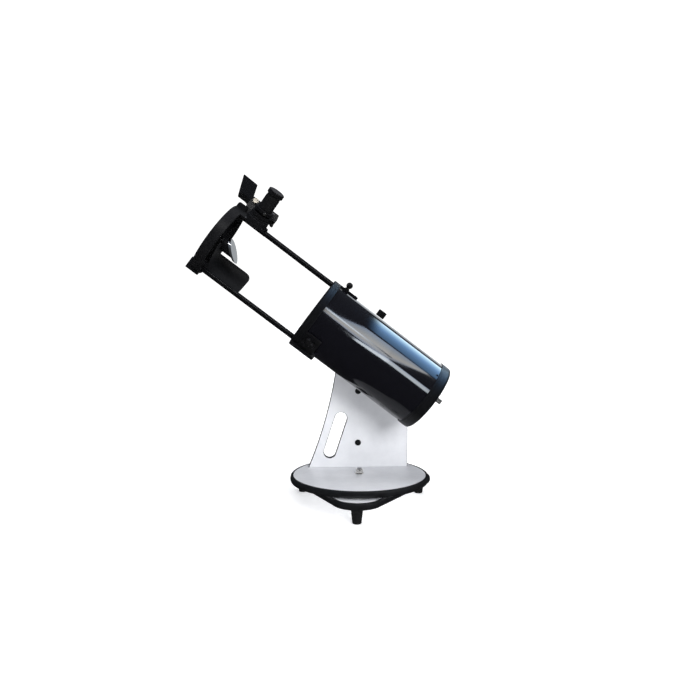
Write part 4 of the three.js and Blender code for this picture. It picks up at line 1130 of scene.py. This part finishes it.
def make_secondary():
    """The four-vaned spider and, on its stem, the small flat mirror at 45 degrees under the focuser."""
    hub = [(3.3, HUB_REAR)] + arc(10.8, HUB_REAR + 1.2, 1.2, -90, 0, 3) + [(12, HUB_FRONT - 2)]
    hub += arc(10, HUB_FRONT - 2, 2, 10, 90, 4) + [(3.3, HUB_FRONT), (3.3, HUB_REAR)]
    vanes = []
    for angle in (45, 135, 225, 315):
        vane = box(10.5, CAGE_BORE_R - 1.2, -0.5, 0.5, HUB_REAR + 3, HUB_FRONT)
        tab = rounded(rectangle(CAGE_BORE_R - 1.6, CAGE_BORE_R - 0.5, 4), 0.3)
        tab = prism(tab, HUB_REAR + 3, HUB_FRONT)
        vanes += [moved(vane, turn("Z", angle)), moved(tab, turn("Z", angle))]
    piece("Spider", fused(revolve(hub, 64), *vanes), TUBE, "cage", ROD, "spider", sharp=35)
    spots = [TUBE @ turn("Z", 90 + 120 * i) @ shift(7.6, 0, HUB_FRONT + 1.6) for i in range(3)]
    screws("Secondary_Screw", 1.7, "cage", CHROME, spots)

    swing = shift(0, 0, SECONDARY_T) @ turn("Y", -45)
    slab, behind = (moved(box(-60, 60, -60, 60, *depth), swing) for depth in ((0, 5), (5.3, 90)))
    low, high = SECONDARY_T - 40, SECONDARY_T + 40
    plate = solid("INTERSECT", rod(SECONDARY_R, low, high, 128), slab)
    spin = TUBE @ turn("Z", FOCUS_ANGLE)
    piece("Secondary_Mirror", plate, spin, "cage", MIRROR, "secondary_mirror", sharp=25)
    wedge = solid("INTERSECT", rod(SECONDARY_R - 4, low, HUB_REAR - 6, 96, 1.2), behind)
    holder = solid("UNION", wedge, rod(3, HUB_REAR - 8, HUB_FRONT + 4, 32))
    piece("Secondary_Holder", holder, spin, "cage", BLACK, "secondary_holder", sharp=35, bevel=0.3)


# ---------------------------------------------------------------- focuser and eyepiece


def make_focuser():
    """A finely ribbed focus ring, the draw tube in it, and the two screws that hold an eyepiece."""
    low = FOCUS_BODY_TOP + GAP
    grip = knob(wave_outline(FOCUS_RING_R, 0.35, 72, 4), low, RING_TOP, 0.9, 3)
    grip = solid("DIFFERENCE", grip, rod(FOCUS_BORE_R, low - 5, RING_TOP + 5, 96, 0.1))
    piece("Focus_Ring", grip, FOCUS, "focus_ring", KNOB, "focus_ring", sharp=35)

    bore, outer, wide, narrow = 16.2, FOCUS_BORE_R - GAP, 22.4, 22.0
    low, top = 84, DRAW_TOP
    start = (bore, low + 0.4)
    profile = [start, (bore + 0.4, low), (outer - 0.4, low), (outer, low + 0.4), (outer, RING_TOP + 1),
               (narrow, RING_TOP + 4.2), (wide, RING_TOP + 5), (wide, top - 5.4), (narrow, top - 5),
               (narrow, top - 4.4), (wide, top - 4), (wide, top - 1), (wide - 1, top), (bore + 0.6, top),
               (bore, top - 0.6), start]
    set_screws = [turn("Z", a) @ shift(0, 0, top - 3.6) @ UPRIGHT for a in SET_SCREW_ANGLES]
    ways = [moved(rod(1.9, 0, 40, 24), place) for place in set_screws]
    draw_tube = solid("DIFFERENCE", revolve(profile, 96), *ways)
    piece("Draw_Tube", draw_tube, FOCUS, "draw_tube", BLACK, "draw_tube", sharp=35)
    for i, (place, metal) in enumerate(zip(set_screws, (CHROME, STEEL)), 1):
        screw = fused(knob(wave_outline(3.2, 0.35, 14, 4), 23.2, 30, 0.6, 3), rod(1.6, 16.3, 24, 20))
        piece(f"Eyepiece_Set_Screw_{i}", screw, FOCUS @ place, f"set_screw_{i}", metal,
              f"eyepiece_set_screw_{i}", sharp=35)


def make_eyepiece():
    """An eyepiece with a bright barrel, a ribbed rubber body and a cap over its lens."""
    bore, barrel_r, grip_r = 14.4, 15.8, 16.6
    low, top = DRAW_TOP + 0.6, EYEPIECE_TOP
    barrel = revolve([(bore, 96.5), (14.9, 96), (15.4, 96), (barrel_r, 96.4), (barrel_r, 104), (15.2, 104.6),
                      (15.2, 109), (barrel_r, 109.6), (barrel_r, low), (bore, low), (bore, 96.5)], 96)
    piece("Eyepiece_Barrel", barrel, FOCUS, "eyepiece", CHROME, sharp=35)
    start = (bore, DRAW_TOP + 0.7)
    body = [start, (grip_r - GAP, DRAW_TOP + GAP), (grip_r, DRAW_TOP + 0.8), (grip_r, 127)]
    for k in range(9):
        z = 128 + 2.6 * k
        body += [(grip_r, z), (grip_r, z + 1.5), (grip_r - 0.5, z + 1.8), (grip_r - 0.5, z + 2.3)]
    body += [(grip_r, top - 7), (barrel_r, top - 6), (barrel_r, top + 3.4), (15.2, top + 4), (9.5, top + 4),
             (9.5, 150.2), (bore, 146), start]
    piece("Eyepiece_Body", revolve(body, 96), FOCUS, "eyepiece", GRIP, "eyepiece_body", sharp=40)
    field = [(r, 122 + 1.8 * (r / 9) ** 2) for r in (0, 3, 6, 9)]
    eye = [(r, 151 - 2 * (r / 9) ** 2) for r in (9, 6, 3, 0)]
    lens = revolve(field + [(14.1, 124), (14.1, 145.4)] + eye, 64)
    piece("Eyepiece_Lens", lens, FOCUS, "eyepiece", LENS, "eyepiece_lens")
    low, inside, wall, bend_at = top - 0.6, 16.2, 18.9, 167.6
    skirt = [(inside, low), (wall - 0.5, low), (wall, low + 0.5), (wall, bend_at)]
    skirt += arc(wall - 1.6, bend_at, 1.6, 10, 70, 4)
    cap = revolve(skirt + [(17.2, 169), (0, 169), (0, 165.2), (inside, 165.2), (inside, low)], 96)
    piece("Eyepiece_Cap", cap, FOCUS, "eyepiece_cap", GLOSSY, "eyepiece_cap", sharp=40)
    # the top face disc carries the paler colour, painted light on the cap's top
    face = revolve([(0, 169.05), (17.1, 169.05), (17.1, 169.3), (16.8, 169.5), (0, 169.5)], 96)
    piece("Cap_Face", face, FOCUS, "eyepiece_cap", CAP_FACE_PAINTED_LIGHT)


# ---------------------------------------------------------------- dot finder


def knurled(r, depth, count, low, high, stem_r, stem_low, stem_high, sides):
    """A small knurled head on its stem."""
    head = knob(wave_outline(r, depth, count, 4), low, high, 0.7, 3)
    return fused(head, rod(stem_r, stem_low, stem_high, sides))


def make_finder():
    """A dot finder: its base in the shoe, a boxy hood with a leaning window, and its dial and screws."""
    def on_finder(name, bm, place, body, material, *nodes, **look):
        piece(name, bm, FINDER @ place, body, material, *nodes, **look)

    top, front = FINDER_TOP, FINDER_FRONT
    foot = side_plate([(352, 93.4), (400, 93.4), (400, 102), (352, 102)], 17.4)
    outline = [(352, 100.6), (396, 100.6), (front, 103), (front, top), (333, top), (331.6, 130)]
    outline += [(331.6, 112.5), (340, 108.5), (350, 104)]
    body = side_plate(rounded(outline, [3, 2, 1, 1.2, 1.5, 1.2, 1.5, 4, 6]), FINDER_WIDTH)
    dial_t, dial_out = DIAL_PLACE
    dial_at = shift(dial_out, 0, dial_t) @ UPRIGHT
    adjuster_at = shift(0, 0, ADJUSTER_T)
    pocket = moved(rod(5, 10.4, 40, 48, 0.1), dial_at)
    bore = cross_hole(2.5, 100, 124.5, adjuster_at, segments=32, by=0.1)
    recess = moved(box(-14, 14, -12.6, -20, -4.5, 4.5), shift(110.5, 0, 380))
    top_groove = box(top - 1.2, top + 3, -8.5, 8.5, 340, 384)
    base = solid("DIFFERENCE", solid("UNION", foot, body), pocket, bore, recess, top_groove)
    on_finder("Finder_Base", base, NO_MOVE, "finder", GLOSSY, "finder_base", sharp=35, bevel=0.7)

    rear = front + GAP
    outline = [(rear, 116), (416, 119), *HOOD_FRONT, (413.6, 158.2), (406.2, 137), (rear, top)]
    shell = side_plate(rounded(outline, [1, 4, 2.5, 2.2, 2.2, 3, 0.5]), HOOD_WIDTH)
    hollow = side_plate(rounded([(396, 122.5), (470, 122.5), (470, 154.4), (396, 154.4)], 3), 29)
    hood = solid("DIFFERENCE", shell, hollow)
    on_finder("Finder_Hood", hood, NO_MOVE, "finder", GLOSSY, "finder_hood", sharp=35, bevel=0.6)
    (low_t, low_out), (high_t, high_out) = HOOD_FRONT
    lean = math.degrees(math.atan2(high_t - low_t, high_out - low_out))
    pane = prism(rounded(rectangle(-10.6, 10.6, 14.2), 2), -1, 1)
    window_at = shift(144, 0, 416) @ turn("Y", -lean)
    on_finder("Finder_Window", pane, window_at, "finder", GLASS, "finder_window", bevel=0.2)

    face = FINDER_WIDTH / 2
    head = face + GAP
    dial = knurled(7, 0.7, 24, head, face + 5, 4.5, 10.8, face + 1, 32)
    on_finder("Finder_Power_Dial", dial, dial_at, "power_dial", BRASS, "finder_power_dial", sharp=35)
    adjuster = knurled(4, 0.4, 14, 102.6, 108, 2.2, 107.5, 124.2, 24)
    on_finder("Finder_Adjuster", adjuster, adjuster_at @ OUT, "finder_adjuster", KNOB, "finder_adjuster",
              sharp=35)
    clamp = knurled(5, 0.5, 16, head, head + 7, 2.5, 9.3, head + 1, 24)
    on_finder("Finder_Clamp_Screw", clamp, FINDER_CLAMP_AT, "finder_clamp_screw", CHROME,
              "finder_clamp_screw", sharp=35)


MAKERS = (
    make_ground, make_arm, make_saddle, make_tube, make_front_ring, make_cell, make_mirror,
    make_upper_clamp, make_lower_clamp, make_cage, make_shield, make_secondary, make_focuser,
    make_eyepiece, make_finder,
)
for make in MAKERS:
    make()

# ---------------------------------------------------------------- floor, light and camera
CAMERA = Vector((azimuth.x - 0.1128, azimuth.y - 1.6916, 0.4928))


def emitter(name, strength=1.0):
    """A plain emitter in place of the usual shader."""
    look = Look(bpy.data.materials.new(name))
    nodes = look.tree.nodes
    nodes.remove(look.shader)
    look.shader = nodes.new("ShaderNodeEmission")
    look.set("Strength", strength)
    look.put(nodes["Material Output"].inputs["Surface"], look.shader.outputs[0])
    return look


def stage_piece(name, bm, material, camera=True, diffuse=True, glossy=False, shadow=True):
    made = as_object(name, bm, material)
    made.visible_camera = made.visible_transmission = camera
    made.visible_diffuse = diffuse
    made.visible_glossy = glossy
    made.visible_shadow = shadow
    return made


def make_stage():
    """A pale floor inside a plain white surround."""
    bm = bmesh.new()
    bmesh.ops.create_circle(bm, cap_ends=True, radius=11, segments=128)
    floor = surface("pale_floor")
    floor.set("Base Color", floor.ramp(floor.noise(6), (0.3, (0.86, 0.86, 0.86)), (0.7, (0.88, 0.88, 0.88))))
    floor.set("Roughness", 0.75)
    floor.set("Specular IOR Level", 0.2)
    floor.set("Emission Color", (1, 1, 1, 1))
    floor.set("Emission Strength", 0.45)
    stage_piece("Floor", bm, floor.owner)
    bm = bmesh.new()
    bmesh.ops.create_icosphere(bm, subdivisions=4, radius=12)
    stage_piece("Surround", bm, emitter("white_surround", 1.15).owner, diffuse=False, shadow=False)


def mirrored(spot, normal, reach):
    """The point that a mirror at the spot shows the camera."""
    ray = (spot - CAMERA).normalized()
    return spot + (ray - 2 * ray.dot(normal) * normal) * reach


def glint(angle, t, reach=1.5):
    """What the tube's near side mirrors, at an angle above its middle line and a distance along it."""
    lean = math.radians(angle)
    normal = Vector((math.sin(lean), -math.cos(lean), 0))
    spot = TUBE @ (normal * TUBE_R + Vector((0, 0, t)))
    return mirrored(spot, (TUBE.to_3x3() @ normal).normalized(), reach)


def nearer_glint(angle, t):
    return glint(angle, t, 1.45)


def linked(name, state, *pieces):
    """A collection that says which pieces a light falls on, or leaves out."""
    chosen = bpy.data.collections.new(name)
    for chosen_piece in pieces:
        chosen.objects.link(bpy.data.objects[chosen_piece])
    for item in chosen.collection_objects:
        item.light_linking.link_state = state
    return chosen


def panel(name, place, corners, stops, strength, fade=0.01, on=None, steps=12):
    """A soft panel seen only in gloss, in the pieces it is on. Place gives a point for each pair
    between the corners, which run front low, front high, rear high, rear low. The stops colour it
    from low to high, and fade dims its front end."""
    low_front, high_front, high_rear, low_rear = (Vector(c) for c in corners)
    bm = bmesh.new()
    layer = bm.loops.layers.uv.new("UVMap")
    grid = []
    for i in range(steps + 1):
        low, high = low_front.lerp(low_rear, i / steps), high_front.lerp(high_rear, i / steps)
        grid.append([bm.verts.new(place(*low.lerp(high, k / steps))) for k in range(steps + 1)])
    for i in range(steps):
        for k in range(steps):
            square = (i, k), (i + 1, k), (i + 1, k + 1), (i, k + 1)
            face = bm.faces.new([grid[a][b] for a, b in square])
            for loop, (a, b) in zip(face.loops, square):
                loop[layer].uv = (a / steps, b / steps)
    look = emitter(name.lower())
    look.set("Color", look.ramp(look.axis("UV", "Y"), *stops))
    look.set("Strength", look.spread(look.axis("UV", "X"), 0, strength, 0, fade))
    made = stage_piece(name, bm, look.owner, camera=False, diffuse=False, glossy=True, shadow=False)
    if on:
        made.light_linking.receiver_collection = on


def lamp(name, kind, **settings):
    """A light, with these settings of its data."""
    data = bpy.data.lights.new(name, kind)
    for setting, value in settings.items():
        setattr(data, setting, value)
    made = bpy.data.objects.new(name, data)
    bpy.context.scene.collection.objects.link(made)
    return made


def area(name, angle, reach, size, radiance, on):
    """A rectangle of light along the tube, mirrored by a rod's side at this angle above its middle line."""
    width, height = size
    made = lamp(name, "AREA", shape="RECTANGLE", size=width, size_y=height,
                energy=math.pi * width * height * radiance)
    turned = 2 * math.radians(angle)
    out = up * math.sin(turned) - Vector((0, math.cos(turned), 0))
    made.matrix_world = shift(*(pivot + out * reach)) @ axes(sky, out.cross(sky), out)
    made.visible_camera = made.visible_diffuse = False
    made.light_linking.receiver_collection = on


def make_panels():
    """Tall windows and a blue sky, as a glossy tube would mirror them."""
    beige = ((0.0, (0.6, 0.7, 0.86)), (0.3, (0.98, 0.95, 0.9)),
             (0.65, (0.72, 0.77, 0.82)), (1.0, (0.5, 0.62, 0.82)))
    pale = (0.0, (0.8, 0.92, 1.0)), (0.5, (0.9, 0.95, 1.0)), (1.0, (0.66, 0.78, 0.95))
    blue = ((0.0, (0.12, 0.24, 0.42)), (0.5, (0.24, 0.46, 0.82)),
            (0.8, (0.5, 0.76, 1.0)), (1.0, (0.66, 0.84, 1.0)))
    wall = (0.0, (0.7, 0.75, 0.8)), (1.0, (1, 1, 1))
    tube = linked("On_Tube", "INCLUDE", "Main_Tube")
    ends = linked("On_Tube_And_Ends", "INCLUDE", "Main_Tube", "Front_Ring", "Rear_Cell")
    rest = linked("Off_Tube_And_Hood", "EXCLUDE", "Main_Tube", "Front_Ring", "Rear_Cell", "Finder_Hood")
    # name, its front end (t, low angle, high angle), its rear end, colours, strength, fade
    streaks = (
        ("Front_Streak", (122, 10.5, 18.7), (86, 10, 19), beige, 15, 0.01),
        ("Opening_Streak", (86, 10, 19), (22, 9, 31), beige, 15, 0.01),
        ("Middle_Streak", (22, 9, 31), (-52, 12, 32), beige, 16, 0.01),
        ("Rear_Streak", (-52, 12, 32), (-150, 31, 33), beige, 14, 0.01),
        ("Low_Streak", (34, 3.4, 6.8), (-60, 6.6, 12.5), pale, 28, 0.05),
        ("Low_Streak_Rear", (-60, 6.6, 12.5), (-178, 6.6, 12.5), pale, 19, 0.01),
        ("Bright_Line", (-60, 15.8, 17.6), (122, 15.8, 18.2), pale, 26, 0.5),
        ("Blue_Panel", (22, 34, 62), (-205, 34, 63), blue, 15, 0.12),
        ("Far_Wall", (130, 68, 87), (-205, 68, 87), wall, 2.6, 0.1),
    )
    for name, (front, low, high), (rear, rear_low, rear_high), stops, strength, fade in streaks:
        corners = (low, front), (high, front), (rear_high, rear), (rear_low, rear)
        place = nearer_glint if name == "Bright_Line" else glint
        on = ends if name in ("Blue_Panel", "Far_Wall") else tube
        panel(name, place, corners, stops, strength, fade, on)
    area("Soft_Sky", 50, 1.3, (1.8, 1.0), 0.3, rest)
    area("Strip", 21, 1.3, (2.8, 0.07), 9.0, rest)


def make_mirror_card(half=0.12):
    """A white card for the small mirror, where the camera sees it there."""
    small = (TUBE @ turn("Z", FOCUS_ANGLE) @ turn("Y", -45)).to_3x3().normalized()
    card = mirrored(TUBE @ Vector((0, 0, SECONDARY_T)), small @ Vector((0, 0, -1)), 1.2)

    def card_place(x, y):
        return card + small @ Vector((x, y, 0))

    panel("Mirror_Card", card_place, ((-half, -half), (-half, half), (half, half), (half, -half)),
          ((0, (0.8, 0.88, 0.95)), (1, (1, 1, 1))), 0.38)


def sun(name, direction, width, energy):
    """A broad distant light that leaves no hard shadow, and doesn't show in gloss."""
    made = lamp(name, "SUN", angle=math.radians(width), energy=energy)
    made.rotation_euler = Vector(direction).to_track_quat("-Z", "Y").to_euler()
    made.visible_glossy = False


def make_light():
    """A dim sky that is palest overhead, two suns and the panels."""
    world = Look(bpy.data.worlds.new("Studio"), "Background")
    height = world.spread(world.axis("Generated", "Z"), 0, 1, -1, 1)
    world.set("Color", world.ramp(height, (0.0, (0.02, 0.02, 0.02)), (0.5, (0.04, 0.042, 0.045)),
                                  (0.75, (0.09, 0.1, 0.12)), (1.0, (0.2, 0.22, 0.26))))
    world.set("Strength", 1.0)
    bpy.context.scene.world = world.owner
    sun("Key", (-0.3, 0.885, -0.355), 24, 2.6)
    sun("Top", (0.05, 0.15, -0.98), 60, 2.15)
    make_panels()
    make_mirror_card()


def make_camera(pan=0.0533, pitch=0.0753):
    """The viewing point of a person standing about 1.7 m in front of the telescope."""
    data = bpy.data.cameras.new("Camera")
    data.sensor_width = 36
    data.lens = 36.94
    camera = bpy.data.objects.new("Camera", data)
    camera.location = CAMERA
    level = math.cos(pitch)
    forward = Vector((math.sin(pan) * level, math.cos(pan) * level, -math.sin(pitch)))
    camera.rotation_euler = forward.to_track_quat("-Z", "Y").to_euler()
    bpy.context.scene.collection.objects.link(camera)
    bpy.context.scene.camera = camera


make_stage()
make_light()
make_camera()
bpy.context.scene.view_settings.view_transform = "Standard"
